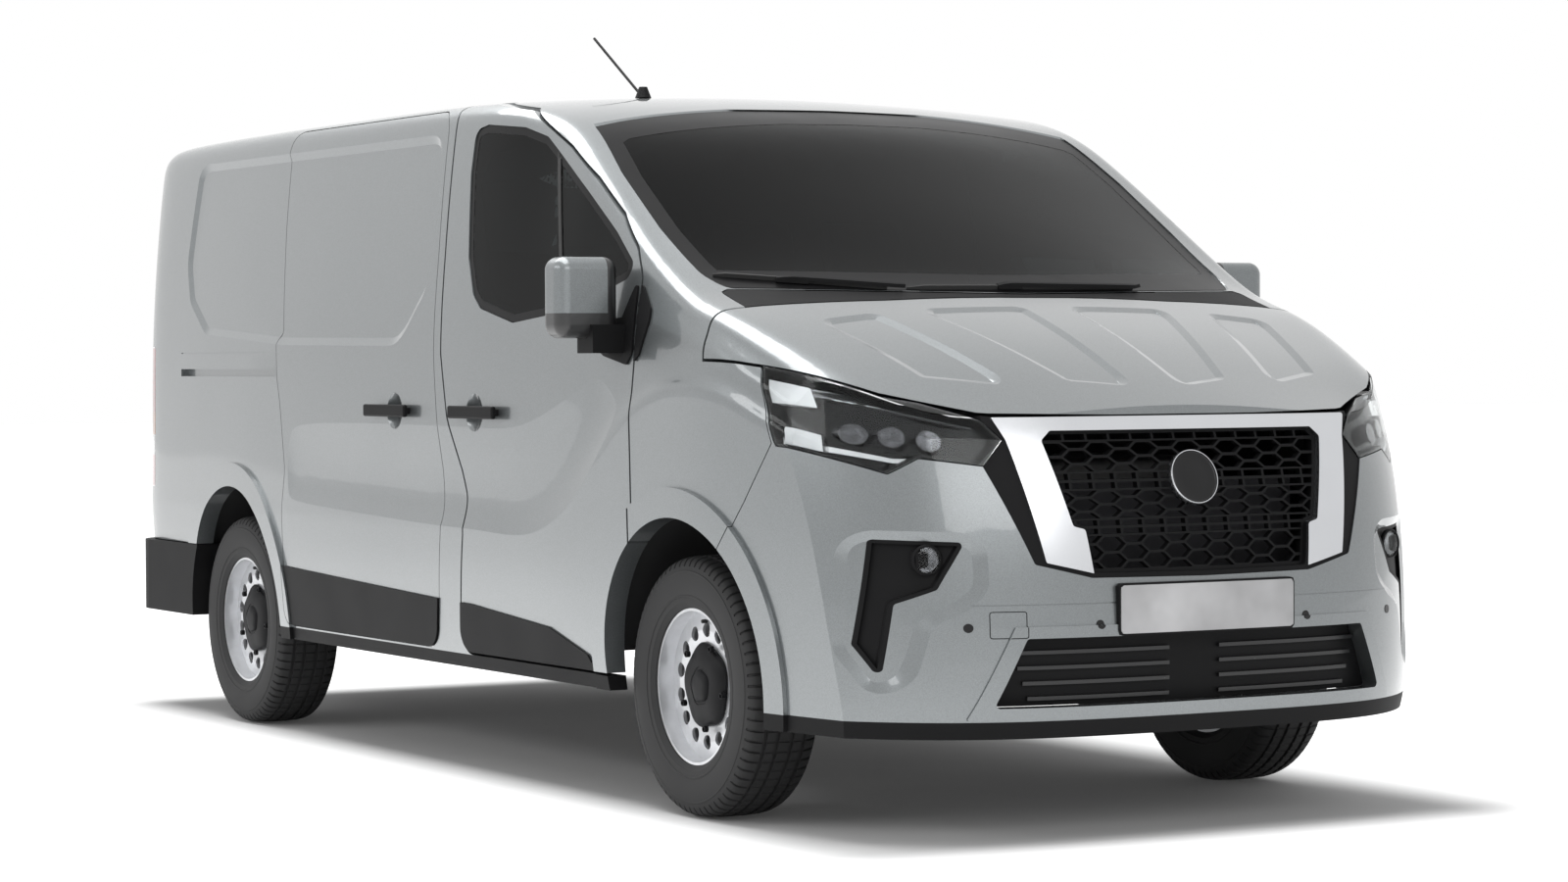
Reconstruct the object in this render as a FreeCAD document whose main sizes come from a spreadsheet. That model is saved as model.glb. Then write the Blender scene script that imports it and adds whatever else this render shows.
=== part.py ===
# Panel van, low roof and short wheelbase: smooth closed body split into its real panels, two front
# doors, twin rear doors, a bonnet, a fixed sliding door, running gear and steered front wheels.
# Millimetres. The van faces -Y, its right side is -X, and Z is zero on the ground.
import FreeCAD, Part
import math
import os
import Sketcher
from FreeCAD import Placement, Rotation, Vector
from functools import lru_cache

os.makedirs("parts", exist_ok=True)
doc = FreeCAD.newDocument("panel_van")
sheet = doc.addObject("Spreadsheet::Sheet", "sizes")

SIZES = (
    # whole van
    ("overall_length", 5080, "bumper to bumper"),
    ("body_width", 1956, "widest line of the sides"),
    ("body_height", 1967, "roof crown over the ground"),
    ("wheelbase", 3098, "axle to axle"),
    ("front_overhang", 1014, "nose to front axle"),
    ("front_track", 1615, "between front tyre centres"),
    ("rear_track", 1628, "between rear tyre centres"),
    ("wall_thickness", 50, "side walls, roof and doors"),
    ("shut_gap", 8, "gap round a panel that opens"),
    ("panel_gap", 3, "gap between fixed panels"),
    ("overrun", 300, "how far cutting tools pass the skin"),
    ("rear_face_inset", 60, "rear doors ahead of the bumper"),
    ("skirt_height", 306, "lower edge of the sides"),
    ("nose_height", 262, "lower edge of the front"),
    # glass
    ("glass_thickness", 5, "all panes"),
    ("glass_depth", 4, "pane behind the skin"),
    ("glass_land", 24, "flange that carries a pane"),
    # arches and flares
    ("arch_radius", 395, "wheel arch lip"),
    ("arch_height", 385, "arch centre over the ground"),
    ("arch_lead", 22, "arch centre ahead of the axle"),
    ("well_growth", 30, "wheel well over the arch lip"),
    ("well_inner", 490, "front well inner wall from the middle"),
    ("rear_well_inner", 634, "rear well inner wall from the middle"),
    ("liner_thickness", 4, "wheel well sheet"),
    ("flare_width", 78, "arch flare round the lip"),
    ("flare_depth", 12, "arch flare over the skin"),
    # tyres and wheels
    ("tyre_radius", 340, "outside, unloaded"),
    ("tyre_width", 215, "section width"),
    ("rim_radius", 203, "tyre seat"),
    ("rim_width", 178, "flange to flange"),
    ("rim_flange", 15, "flange over the seat"),
    ("rim_sheet", 7, "wheel steel"),
    ("disc_offset", 52, "wheel face outboard of its middle"),
    ("hub_radius", 62, "raised wheel centre"),
    ("vent_radius", 19, "round vents of the wheel"),
    ("vent_circle", 146, "circle of the vents"),
    ("vent_count", 14, "number of vents"),
    ("bore_radius", 31, "wheel bore on the spindle"),
    ("bore_clearance", 1, "spindle in its bore"),
    # steering
    ("kingpin_foot", 748, "lower ball joint from the middle"),
    ("kingpin_foot_height", 232, "lower ball joint over the ground"),
    ("kingpin_head", 630, "strut top from the middle"),
    ("kingpin_head_height", 785, "strut top over the ground"),
    ("strut_radius", 26, "damper tube"),
    ("spring_radius", 58, "coil spring, outside"),
    ("steering_radius", 187, "steering wheel"),
    ("steering_grip", 15, "steering wheel rim"),
    ("driver_offset", 400, "driver's middle from the van's middle"),
    # floor and inside
    ("floor_height", 552, "load floor over the ground"),
    ("floor_thickness", 56, "floor with its cross members"),
    ("rail_height", 88, "chassis rails under the floor"),
    ("rail_width", 74, "chassis rails"),
    ("rail_offset", 430, "chassis rails from the middle"),
    ("tow_hole_radius", 6.5, "holes for a tow bar through the rear ends of the rails"),
    ("tow_hole_spacing", 100, "between the two holes of one rail"),
    ("tow_hole_inset", 50, "rearmost hole from the rail's end"),
    ("firewall_setback", 70, "firewall ahead of the front axle"),
    ("firewall_thickness", 24, "firewall sheet and padding"),
    ("bulkhead_thickness", 24, "wall behind the seats"),
    ("bulkhead_place", 1455, "bulkhead behind the front axle"),
    ("seat_width", 500, "one seat"),
    ("bench_width", 900, "double passenger seat"),
    ("seat_length", 480, "cushion front to back"),
    ("seat_height", 340, "cushion top over the floor"),
    ("cushion_thickness", 130, "seat cushion"),
    ("back_height", 640, "seat back"),
    ("back_thickness", 110, "seat back"),
    ("dash_depth", 400, "dashboard front to back"),
    # engine, axles, tank, exhaust
    ("engine_width", 640, "engine and gearbox"),
    ("engine_length", 470, "engine front to back"),
    ("engine_height", 520, "engine block"),
    ("gearbox_height", 200, "gearbox between the drive shafts"),
    ("subframe_length", 130, "front cross member, front to back"),
    ("subframe_height", 80, "front cross member"),
    ("shaft_radius", 15, "drive shafts"),
    ("beam_radius", 42, "rear axle beam"),
    ("arm_radius", 24, "trailing arms"),
    ("spindle_length", 66, "spindle inside the wheel bore"),
    ("tank_length", 760, "fuel tank"),
    ("tank_width", 330, "fuel tank"),
    ("tank_height", 190, "fuel tank"),
    ("pipe_radius", 27, "exhaust pipe"),
    ("silencer_radius", 95, "exhaust silencer"),
    # doors and bonnet
    ("hinge_out", 14, "door hinge line outside the widest line"),
    ("hinge_ahead", 3, "door hinge line ahead of the door edge"),
    ("rear_hinge_out", 8, "rear hinge line behind the rear face"),
    ("door_meeting_gap", 10, "between the twin rear doors"),
    ("bonnet_gap", 8, "round the bonnet"),
    # pressed forms of the skin
    ("recess_depth", 10, "side field pressed in over the waist"),
    ("recess_run", 24, "slope round the side field"),
    ("recess_corner", 70, "corners of the side field"),
    ("swage_depth", 15, "side hollow over the crease"),
    ("swage_clearance", 1.5, "tool of the side hollow outside the skin"),
    ("rib_height", 7, "bonnet ribs over the fields beside them"),
    ("rib_run", 22, "slope of the bonnet ribs"),
    ("rib_corner", 30, "corners of the bonnet fields"),
    ("hollow_depth", 18, "hollow round the fog lamps"),
    ("hollow_run", 26, "slope round that hollow"),
    ("bezel_proud", 7, "painted frame round the lower intake"),
    ("seam_depth", 4, "seam across the front bumper"),
    # trim
    ("cladding_proud", 6, "black side cladding over the skin"),
    ("cladding_seat", 4, "cladding let into the skin"),
    ("handle_length", 300, "door handle bar"),
    ("handle_height", 36, "door handle bar"),
    ("handle_proud", 30, "handle bar over the skin"),
    ("cup_radius", 55, "round handle recess"),
    ("cup_depth", 16, "round handle recess"),
    ("rail_cover_height", 52, "sliding door rail cover over the slot"),
    ("slot_height", 24, "sliding door rail slot"),
    ("slot_depth", 26, "sliding door rail slot"),
    ("mirror_reach", 1141, "mirror's outer edge from the middle"),
    ("bumper_depth", 110, "rear bumper behind and round the corners"),
    ("grille_depth", 60, "grille behind the nose skin"),
    ("grille_setback", 16, "grille mesh behind the nose skin"),
    ("mesh_thickness", 18, "grille mesh, front to back"),
    ("bar_height", 9, "grille bars"),
    ("web_width", 7, "webs between the openings of the mesh"),
    ("cell_pitch", 128, "honeycomb cells of one row, side to side"),
    ("slot_pitch", 22, "slots of the grille's slat bands, one over the other"),
    ("seat_clearance", 0.3, "between pieces that seat on each other"),
    ("lens_thickness", 4, "headlamp lens"),
    ("lamp_wall", 6, "rim and back of the headlamp housing"),
    ("projector_radius", 25, "headlamp projectors"),
    ("guide_depth", 14, "light guides behind the skin"),
    ("pod_wall", 9, "rim of the fog lamp pods"),
    ("pod_depth", 34, "fog lamp pods behind the skin"),
    ("fog_radius", 31, "fog lamp"),
    ("radiator_height", 520, "cooling pack"),
    ("radiator_thickness", 46, "cooling pack"),
    ("antenna_length", 372, "roof whip"),
    ("antenna_radius", 4, "roof whip at its foot"),
)


class Length(float):
    """A size that also carries the sheet expression it comes from."""

    def __new__(cls, value, text):
        made = super().__new__(cls, value)
        made.text = text
        return made

    def __add__(self, other):
        return Length(float(self) + float(other), "(%s + %s)" % (self.text, text_of(other)))

    def __sub__(self, other):
        return Length(float(self) - float(other), "(%s - %s)" % (self.text, text_of(other)))

    def __mul__(self, other):
        return Length(float(self) * float(other), "(%s * %s)" % (self.text, text_of(other)))

    def __truediv__(self, other):
        return Length(float(self) / float(other), "(%s / %s)" % (self.text, text_of(other)))

    def __neg__(self):
        return Length(-float(self), "(0 - %s)" % self.text)


def text_of(value):
    return value.text if isinstance(value, Length) else repr(float(value))


class Sizes:
    """Every size of the sheet under its own name."""


def fill_sheet():
    sizes = Sizes()
    for row, (name, value, note) in enumerate(SIZES, 1):
        sheet.set("A%d" % row, name)
        sheet.set("B%d" % row, str(value))
        sheet.set("C%d" % row, note)
        sheet.setAlias("B%d" % row, name)
    doc.recompute()
    for name, value, note in SIZES:
        setattr(sizes, name, Length(sheet.get(name), "sizes." + name))
    return sizes


S = fill_sheet()

# places worked out from the sizes
HALF_LENGTH = S.overall_length / 2
HALF_WIDTH = S.body_width / 2
NOSE_Y = -HALF_LENGTH
TAIL_Y = HALF_LENGTH
FACE_Y = HALF_LENGTH - S.rear_face_inset
FRONT_AXLE_Y = S.front_overhang - HALF_LENGTH
REAR_AXLE_Y = FRONT_AXLE_Y + S.wheelbase
WIDE = HALF_WIDTH + S.overrun

# The body's skin. Each row is one station along the van, from the tail to the nose, in shares of half
# the length (ahead of the rear face), half the width and the height: place, crease width and height,
# shoulder width and height, roof rail width and height, crown edge width and height, crown height in
# the middle.
STATION_SHARES = (
    (1.000, 0.874, 0.356, 0.868, 0.630, 0.822, 0.905, 0.716, 0.928, 0.932),
    (0.996, 0.922, 0.358, 0.915, 0.630, 0.866, 0.925, 0.777, 0.957, 0.966),
    (0.970, 0.945, 0.361, 0.939, 0.630, 0.888, 0.935, 0.808, 0.974, 0.986),
    (0.912, 0.956, 0.361, 0.947, 0.630, 0.898, 0.940, 0.818, 0.980, 0.995),
    (0.718, 0.976, 0.361, 0.969, 0.631, 0.906, 0.942, 0.826, 0.983, 0.999),
    (0.512, 0.992, 0.361, 0.982, 0.633, 0.910, 0.943, 0.830, 0.984, 1.000),
    (0.307, 1.000, 0.361, 0.988, 0.633, 0.912, 0.943, 0.830, 0.984, 1.000),
    (0.102, 1.000, 0.361, 0.988, 0.634, 0.912, 0.943, 0.830, 0.984, 1.000),
    (-0.040, 1.000, 0.361, 0.988, 0.636, 0.912, 0.943, 0.830, 0.982, 0.999),
    (-0.157, 1.000, 0.361, 0.988, 0.634, 0.908, 0.938, 0.830, 0.978, 0.995),
    (-0.276, 0.999, 0.366, 0.986, 0.613, 0.892, 0.915, 0.818, 0.949, 0.969),
    (-0.354, 0.999, 0.389, 0.986, 0.590, 0.913, 0.864, 0.838, 0.886, 0.932),
    (-0.425, 0.999, 0.442, 0.984, 0.574, 0.923, 0.811, 0.854, 0.827, 0.877),
    (-0.500, 0.998, 0.516, 0.984, 0.576, 0.941, 0.747, 0.869, 0.764, 0.820),
    (-0.563, 0.996, 0.548, 0.980, 0.592, 0.946, 0.697, 0.879, 0.716, 0.771),
    (-0.614, 0.994, 0.558, 0.976, 0.600, 0.956, 0.656, 0.884, 0.686, 0.731),
    (-0.661, 0.990, 0.556, 0.973, 0.598, 0.961, 0.636, 0.869, 0.672, 0.694),
    (-0.709, 0.980, 0.548, 0.966, 0.588, 0.956, 0.616, 0.849, 0.653, 0.674),
    (-0.780, 0.959, 0.513, 0.946, 0.548, 0.932, 0.576, 0.798, 0.618, 0.645),
    (-0.858, 0.925, 0.473, 0.910, 0.503, 0.892, 0.534, 0.736, 0.574, 0.605),
    (-0.937, 0.888, 0.432, 0.869, 0.463, 0.849, 0.493, 0.654, 0.516, 0.556),
    (-1.020, 0.844, 0.397, 0.823, 0.427, 0.798, 0.4525, 0.613, 0.473, 0.500),
)
# Points of the lower side, as the skin's pull-in and height.
LOWER_SHARES = ((0.030, 0.168), (0.014, 0.254))
CREASE_BAND_SHARE = 0.014
CREASE_PULL_SHARE = 0.0016
LOWER_PULLS = 3
ROOF_POINT_SHARES = (0.8, 0.55, 0.28, 0.0)
RAIL_SHARES = ((0.12, 0.62), (0.50, 0.93))
TUMBLE_SHARES = ((0.33, 0.005), (0.62, 0.006), (0.86, 0.003))
FOOT_SHARE = 0.127

# The nose, seen from the side: height share, and how far it lies behind the nose's foremost line.
NOSE_SIDE_SHARES = (
    (0.050, 0.0275), (0.100, 0.0177), (0.133, 0.0087), (0.168, 0.0), (0.229, -0.0008), (0.285, 0.0),
    (0.356, 0.0040), (0.432, 0.0150), (0.498, 0.0295), (0.539, 0.0425), (0.585, 0.0590),
    (0.661, 0.0905), (0.737, 0.1260),
)
# Places across the nose, and the two terms that pull its corners back.
NOSE_ACROSS_SHARES = (1.12, 1.02, 0.94, 0.87, 0.787, 0.695, 0.593, 0.49, 0.368, 0.245, 0.123)
NOSE_START_SHARE = 0.0004
NOSE_SWEEP_SHARE = 0.0236
NOSE_CORNER_SHARE = 0.1043
NOSE_REACH_SHARE = 0.9
NOSE_CORNER_POWER = 4.5


def side_half(row, foot):
    """One half section from the foot up to the crown, as width and height."""
    place, wc, zc, wb, zb, wr, zr, wt, ze, zt = row
    lower = LOWER_SHARES[1][1]
    points = [(wc - LOWER_SHARES[0][0] - CREASE_BAND_SHARE, foot)]
    points += [(wc - pull, height) for pull, height in LOWER_SHARES]
    points += [
        (wc - CREASE_PULL_SHARE * LOWER_PULLS, (lower + zc) / 2),
        (wc - CREASE_PULL_SHARE, zc - CREASE_BAND_SHARE),
        (wc, zc),
        (wc - CREASE_PULL_SHARE, zc + CREASE_BAND_SHARE),
        ((wc + wb) / 2 - CREASE_PULL_SHARE, (zc + zb) / 2),
        (wb, zb),
    ]
    points += [(wb + (wr - wb) * t + bulge, zb + (zr - zb) * t) for t, bulge in TUMBLE_SHARES]
    points.append((wr, zr))
    points += [(wr + (wt - wr) * a, zr + (ze - zr) * b) for a, b in RAIL_SHARES]
    points.append((wt, ze))
    points += [(wt * t, ze + (zt - ze) * (1 - t * t)) for t in ROOF_POINT_SHARES]
    return points


def even_knots(count):
    inner = count - 3
    return [float(i) for i in range(inner + 1)], [4] + [1] * (inner - 1) + [4]


def spline_face(rows):
    surface = Part.BSplineSurface()
    rows_knots, rows_mults = even_knots(len(rows))
    cols_knots, cols_mults = even_knots(len(rows[0]))
    surface.buildFromPolesMultsKnots(
        rows, rows_mults, cols_mults, rows_knots, cols_knots, False, False, 3, 3)
    return surface


def closing_face(edge):
    first, last = edge.Vertexes[0].Point, edge.Vertexes[-1].Point
    return Part.Face(Part.Wire([edge, Part.makeLine(last, first)]))


def tube_surface(depth, foot_share):
    """The skin of sides and roof, moved inward by depth."""
    rows = []
    narrow = 1 - depth / HALF_WIDTH
    for row in STATION_SHARES:
        place = row[0] * (FACE_Y if row[0] > 0 else HALF_LENGTH)
        if row[0] > STATION_SHARES[3][0]:
            place = place - depth
        shoulder, edge = row[4], row[8]
        half = []
        for width, height in side_half(row, foot_share):
            lift = min(1.0, max(0.0, (height - shoulder) / (edge - shoulder)))
            half.append((width * HALF_WIDTH * narrow, height * S.body_height - depth * lift))
        right = [Vector(-x, place, z) for x, z in half]
        left = [Vector(x, place, z) for x, z in half[:-1]]
        rows.append(right + left[::-1])
    return spline_face(rows)


def tube(depth, foot_share):
    """The long body of the van, its skin moved inward by depth."""
    surface = tube_surface(depth, foot_share)
    ends = [closing_face(surface.uIso(surface.getUKnot(i)).toShape()) for i in (1, surface.NbUKnots)]
    edges = [surface.vIso(surface.getVKnot(i)).toShape() for i in (1, surface.NbVKnots)]
    shell = Part.makeShell([surface.toShape(), Part.makeRuledSurface(*edges)] + ends)
    solid = Part.makeSolid(shell)
    if solid.Volume < 0:
        solid.reverse()
    return solid


def nose_surface(depth):
    """The skin of the nose, moved back by depth."""
    across = [-share for share in NOSE_ACROSS_SHARES] + [0.0]
    across += [share for share in NOSE_ACROSS_SHARES[::-1]]
    rows = []
    for height, setback in NOSE_SIDE_SHARES:
        row = []
        for share in across:
            reach = abs(share) / NOSE_REACH_SHARE
            sweep = NOSE_SWEEP_SHARE * reach ** 2 + NOSE_CORNER_SHARE * reach ** NOSE_CORNER_POWER
            place = (NOSE_START_SHARE + sweep + setback - 1) * HALF_LENGTH + depth
            row.append(Vector(share * HALF_WIDTH, place, height * S.body_height))
        rows.append(row)
    return spline_face(rows)


@lru_cache(maxsize=None)
def nose_block(depth):
    """Everything behind the nose's skin, that skin moved back by depth."""
    return nose_surface(depth).toShape().extrude(Vector(0, S.overall_length, 0))


UPPER_START_SHARE = -0.75
UPPER_FOOT_SHARE = 0.62


@lru_cache(maxsize=None)
def skin(depth, foot_share=FOOT_SHARE):
    """The whole body as one solid, its skin moved inward by depth."""
    start = UPPER_START_SHARE * HALF_LENGTH
    foot = UPPER_FOOT_SHARE * S.body_height
    rear = Part.makeBox(2 * WIDE, S.overall_length, S.body_height, Vector(-WIDE, start, foot))
    return tube(depth, foot_share).common(nose_block(depth).fuse(rear))


# Side outlines, as shares of half the length and of the height.
FRONT_DOOR_SHARES = (
    (-0.498, 0.751), (-0.448, 0.799), (-0.382, 0.852), (-0.313, 0.900), (-0.201, 0.960),
    (-0.080, 0.980), (-0.024, 0.980), (-0.030, 0.960), (-0.041, 0.761), (-0.047, 0.614),
    (-0.066, 0.523), (-0.102, 0.444), (-0.115, 0.407), (-0.113, 0.351), (-0.097, 0.258),
    (-0.085, 0.179), (-0.518, 0.179), (-0.518, 0.712),
)
SLIDING_DOOR_SHARES = (
    (-0.007, 0.974), (-0.021, 0.762), (-0.025, 0.614), (-0.034, 0.540), (-0.048, 0.442),
    (-0.053, 0.370), (-0.035, 0.254), (-0.020, 0.179), (0.437, 0.179), (0.435, 0.238),
    (0.429, 0.375), (0.421, 0.429), (0.440, 0.536), (0.451, 0.577), (0.457, 0.639),
    (0.441, 0.648), (0.461, 0.820), (0.474, 0.974),
)
DOOR_WINDOW_SHARES = (
    (-0.084, 0.877), (-0.083, 0.940), (-0.113, 0.946), (-0.202, 0.936), (-0.257, 0.919),
    (-0.372, 0.836), (-0.450, 0.776), (-0.497, 0.732), (-0.488, 0.712), (-0.366, 0.672),
    (-0.228, 0.656), (-0.144, 0.678), (-0.123, 0.698), (-0.103, 0.751),
)
DIVIDER_SHARES = ((-0.2894, 0.966), (-0.2776, 0.966), (-0.3063, 0.655), (-0.3181, 0.655))
SIDE_RECESS_SHARES = (
    (0.789, 0.941), (0.022, 0.940), (0.004, 0.927), (-0.011, 0.836), (0.006, 0.707),
    (0.062, 0.641), (0.092, 0.626), (0.437, 0.630), (0.721, 0.650), (0.787, 0.704),
    (0.808, 0.769),
)
SWAGE_FOOT_SHARES = (
    (0.415, 0.377), (0.25, 0.370), (0.10, 0.364), (-0.037, 0.359), (-0.182, 0.355), (-0.281, 0.356),
    (-0.378, 0.398), (-0.448, 0.467), (-0.505, 0.541),
)
SWAGE_HEAD_SHARES = (
    (0.415, 0.52), (0.25, 0.52), (0.10, 0.52), (-0.037, 0.52), (-0.160, 0.52), (-0.24, 0.525),
    (-0.31, 0.545), (-0.375, 0.575), (-0.43, 0.61),
)
# The hollow's section: share of the way up from the crease, and share of its depth.
SWAGE_SECTION_SHARES = (
    (-0.06, -0.25), (-0.02, -0.08), (0.0, 0.02), (0.05, 0.28), (0.12, 0.62), (0.20, 0.90), (0.30, 1.0),
    (0.42, 0.94), (0.56, 0.76), (0.70, 0.5), (0.84, 0.24), (0.95, 0.06), (1.02, -0.04),
)
SWAGE_ROWS = 25
SWAGE_BIAS_POWER = 0.8
SWAGE_END_POWER = 0.5
CLADDING_SHARES = (
    (0.432, 0.172), (0.432, 0.274), (-0.023, 0.253), (-0.122, 0.250), (-0.319, 0.231),
    (-0.407, 0.200), (-0.430, 0.172),
)
DOOR_CORNER_SHARE = 0.030
WINDOW_CORNER_SHARE = 0.016
CORNER_REACH_SHARE = 0.45
FRONT_CORNER_SHARE = 0.004
LAYER_CORNER_SHARE = 0.002
DOOR_INNER_SHARE = 0.80

# Outlines seen from the front, as shares of half the width and of the height.
BONNET_EDGE_SHARES = (
    (0.0, 0.531), (0.218, 0.531), (0.543, 0.534), (0.568, 0.535), (0.767, 0.560), (0.971, 0.604),
    (1.200, 0.604), (1.200, 0.800), (0.0, 0.800),
)
BONNET_REAR_SHARES = ((0.0, -0.687), (0.45, -0.683), (0.80, -0.669), (1.200, -0.662))
HEADLAMP_SHARES = (
    (0.572, 0.525), (0.687, 0.547), (0.769, 0.555), (0.971, 0.603), (1.200, 0.603),
    (1.200, 0.500), (0.976, 0.500), (0.787, 0.461), (0.724, 0.480), (0.585, 0.470),
    (0.530, 0.501),
)
HEADLAMP_REAR_SHARES = ((-0.754, 0.640), (-0.756, 0.603), (-0.793, 0.500), (-0.850, 0.400))
BUMPER_REAR_SHARES = (
    (-0.740, 0.640), (-0.756, 0.603), (-0.790, 0.497), (-0.742, 0.420), (-0.700, 0.360),
    (-0.700, 0.100), (-1.100, 0.100), (-1.100, 0.640),
)
GRILLE_SHARES = (
    (0.0, 0.512), (0.404, 0.512), (0.432, 0.500), (0.378, 0.394), (0.346, 0.390),
    (0.328, 0.336), (0.0, 0.334),
)
SURROUND_SHARES = (
    (0.0, 0.529), (0.548, 0.529), (0.523, 0.501), (0.458, 0.350), (0.334, 0.336), (0.0, 0.334),
)
SURROUND_FRAME_SHARES = (
    (0.0, 0.5335), (0.566, 0.5335), (0.588, 0.470), (0.486, 0.348), (0.335, 0.330), (0.0, 0.328),
)
SURROUND_FOOT_SHARES = ((0.322, 0.300), (0.0, 0.300))
INTAKE_SHARES = ((0.0, 0.2575), (0.516, 0.2575), (0.596, 0.172), (0.0, 0.172))
FOG_SHARES = (
    (0.640, 0.376), (0.830, 0.380), (0.865, 0.250), (0.815, 0.205), (0.790, 0.300), (0.705, 0.318),
    (0.686, 0.336),
)
FOG_HOLLOW_SHARES = (
    (0.60, 0.388), (0.89, 0.392), (0.90, 0.24), (0.84, 0.185), (0.76, 0.20), (0.725, 0.275),
    (0.66, 0.290), (0.60, 0.315),
)
INTAKE_BEZEL_SHARES = ((0.0, 0.272), (0.545, 0.272), (0.655, 0.157), (0.0, 0.157))
LIGHT_GUIDE_SHARES = (
    ((0.951, 0.5836), (0.885, 0.5658), (0.881, 0.5414), (0.947, 0.5496)),
    ((0.942, 0.521), (0.884, 0.5074), (0.8855, 0.487), (0.938, 0.4967)),
    ((0.876, 0.4865), (0.767, 0.4733), (0.6, 0.4743), (0.6, 0.4793), (0.765, 0.4783), (0.876, 0.4935)),
)
# Rear ends of the light guides, as shares of half the length.
LIGHT_GUIDE_REAR_SHARES = (-0.70, -0.802, -0.70)
PROJECTOR_SHARES = ((0.830, 0.509), (0.762, 0.505), (0.690, 0.500))
FOG_PLACE_SHARES = (0.722, 0.355)
# The bonnet's pressed fields between its ribs, as shares of half the width and half the length.
BONNET_FIELD_SHARES = (
    ((0.07, -0.715), (0.40, -0.712), (0.25, -0.90), (0.07, -0.92)),
    ((0.53, -0.715), (0.72, -0.72), (0.62, -0.86), (0.40, -0.90)),
)
# Bands of the grille from its foot, as shares of the height: True for honeycomb, False for slats.
GRILLE_BAND_SHARES = (
    (0.3395, 0.3810, True), (0.3815, 0.4020, False), (0.4025, 0.4370, True), (0.4375, 0.4600, False),
    (0.4605, 0.4975, True), (0.4980, 0.5110, False),
)
WINDSCREEN_SHARES = (
    (0.0, 0.966), (0.50, 0.963), (0.79, 0.945), (0.835, 0.860), (0.850, 0.780), (0.846, 0.715),
    (0.822, 0.696), (0.0, 0.690),
)
REAR_DOOR_SHARES = ((0.768, 0.298), (0.785, 0.640), (0.750, 0.960))
REAR_DOOR_FRONT_SHARE = 0.945


def rounded_face(points, radius, place):
    """A flat face through the points, each corner an arc of the given radius."""
    edges, last_end, first_start = [], None, None
    count = len(points)
    for i, corner in enumerate(points):
        corner = Vector(corner[0], corner[1], 0)
        back = Vector(points[i - 1][0], points[i - 1][1], 0) - corner
        ahead = Vector(points[(i + 1) % count][0], points[(i + 1) % count][1], 0) - corner
        half = back.getAngle(ahead) / 2
        reach = min(radius / math.tan(half), CORNER_REACH_SHARE * min(back.Length, ahead.Length))
        bend = reach * math.tan(half)
        back.normalize()
        ahead.normalize()
        start, end = corner + back * reach, corner + ahead * reach
        middle = back + ahead
        if middle.Length < 1e-6 or reach < 1e-6:
            start = end = corner
        if last_end is not None:
            edges.append(Part.makeLine(place(last_end), place(start)))
        else:
            first_start = start
        if end != start:
            middle.normalize()
            top = corner + middle * (bend / math.sin(half) - bend)
            edges.append(Part.Arc(place(start), place(top), place(end)).toShape())
        last_end = end
    edges.append(Part.makeLine(place(last_end), place(first_start)))
    return Part.Face(Part.Wire(edges))


def on_side(point):
    return Vector(0, point.x, point.y)


def on_front(point):
    return Vector(point.x, 0, point.y)


def on_top(point):
    return Vector(point.x, point.y, 0)


def side_points(shares):
    return [(a * HALF_LENGTH, b * S.body_height) for a, b in shares]


def front_points(shares):
    """A front outline given for one half, closed over the middle line by its mirror image."""
    points = [(a * HALF_WIDTH, b * S.body_height) for a, b in shares]
    return points + [(-x, z) for x, z in points[::-1] if x > 0]


def one_side_points(shares):
    return [(a * HALF_WIDTH, b * S.body_height) for a, b in shares]


def resized(face, distance):
    return face.makeOffset2D(float(distance)) if distance else face


def through_side(face, inner, outer):
    """A side outline as a block between two distances from the middle, on the right side."""
    moved = face.translated(Vector(-outer, 0, 0))
    return moved.extrude(Vector(outer - inner, 0, 0))


def through_front(face, start, end):
    return face.translated(Vector(0, start, 0)).extrude(Vector(0, end - start, 0))


def mirrored(shape):
    return shape.mirror(Vector(0, 0, 0), Vector(1, 0, 0))


def both(shape):
    return [shape, mirrored(shape)]


def one_solid(shape):
    """The largest solid of a cut, without slivers."""
    return max(shape.Solids, key=lambda solid: solid.Volume)


def cylinder_x(radius, inner, outer, y, z):
    """A cylinder across the van on the right side, between two distances from the middle."""
    return Part.makeCylinder(radius, outer - inner, Vector(-outer, y, z), Vector(1, 0, 0))


def cylinder_between(radius, start, end):
    return Part.makeCylinder(radius, (end - start).Length, start, end - start)


def box(x, y, z):
    """A box from three pairs of limits."""
    corner = Vector(min(x), min(y), min(z))
    sides = [abs(limits[1] - limits[0]) for limits in (x, y, z)]
    return Part.makeBox(*sides, corner)


ARCH_PLACES = [(axle - S.arch_lead, inner) for axle, inner in
               ((FRONT_AXLE_Y, S.well_inner), (REAR_AXLE_Y, S.rear_well_inner))]
WELL_RADIUS = S.arch_radius + S.well_growth


def arch_lips():
    """The openings of the four arches through the skin."""
    cuts = []
    for place, well in ARCH_PLACES:
        cuts += both(cylinder_x(S.arch_radius, S.well_inner, WIDE, place, S.arch_height))
    return cuts


SIDE_SKIN = tube_surface(0, FOOT_SHARE)
NOSE_SKIN = nose_surface(0)
PRESSING_POINTS = 96
PRESSING_OVER_SHARE = 0.25


def met(surface, start, way):
    """Where a straight line first meets a skin."""
    points = Part.LineSegment(start, start + way).intersectCS(surface)[0]
    found = [Vector(point.X, point.Y, point.Z) for point in points]
    return min(found, key=lambda point: (point - start).Length)


def side_met(place):
    return met(SIDE_SKIN, Vector(-WIDE, place.y, place.z), Vector(WIDE, 0, 0))


def nose_met(place):
    return met(NOSE_SKIN, Vector(place.x, NOSE_Y - S.overrun, place.z), Vector(0, HALF_LENGTH, 0))


def top_met(place):
    return met(SIDE_SKIN, Vector(place.x, place.y, 2 * S.body_height), Vector(0, 0, -2 * S.body_height))


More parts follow.
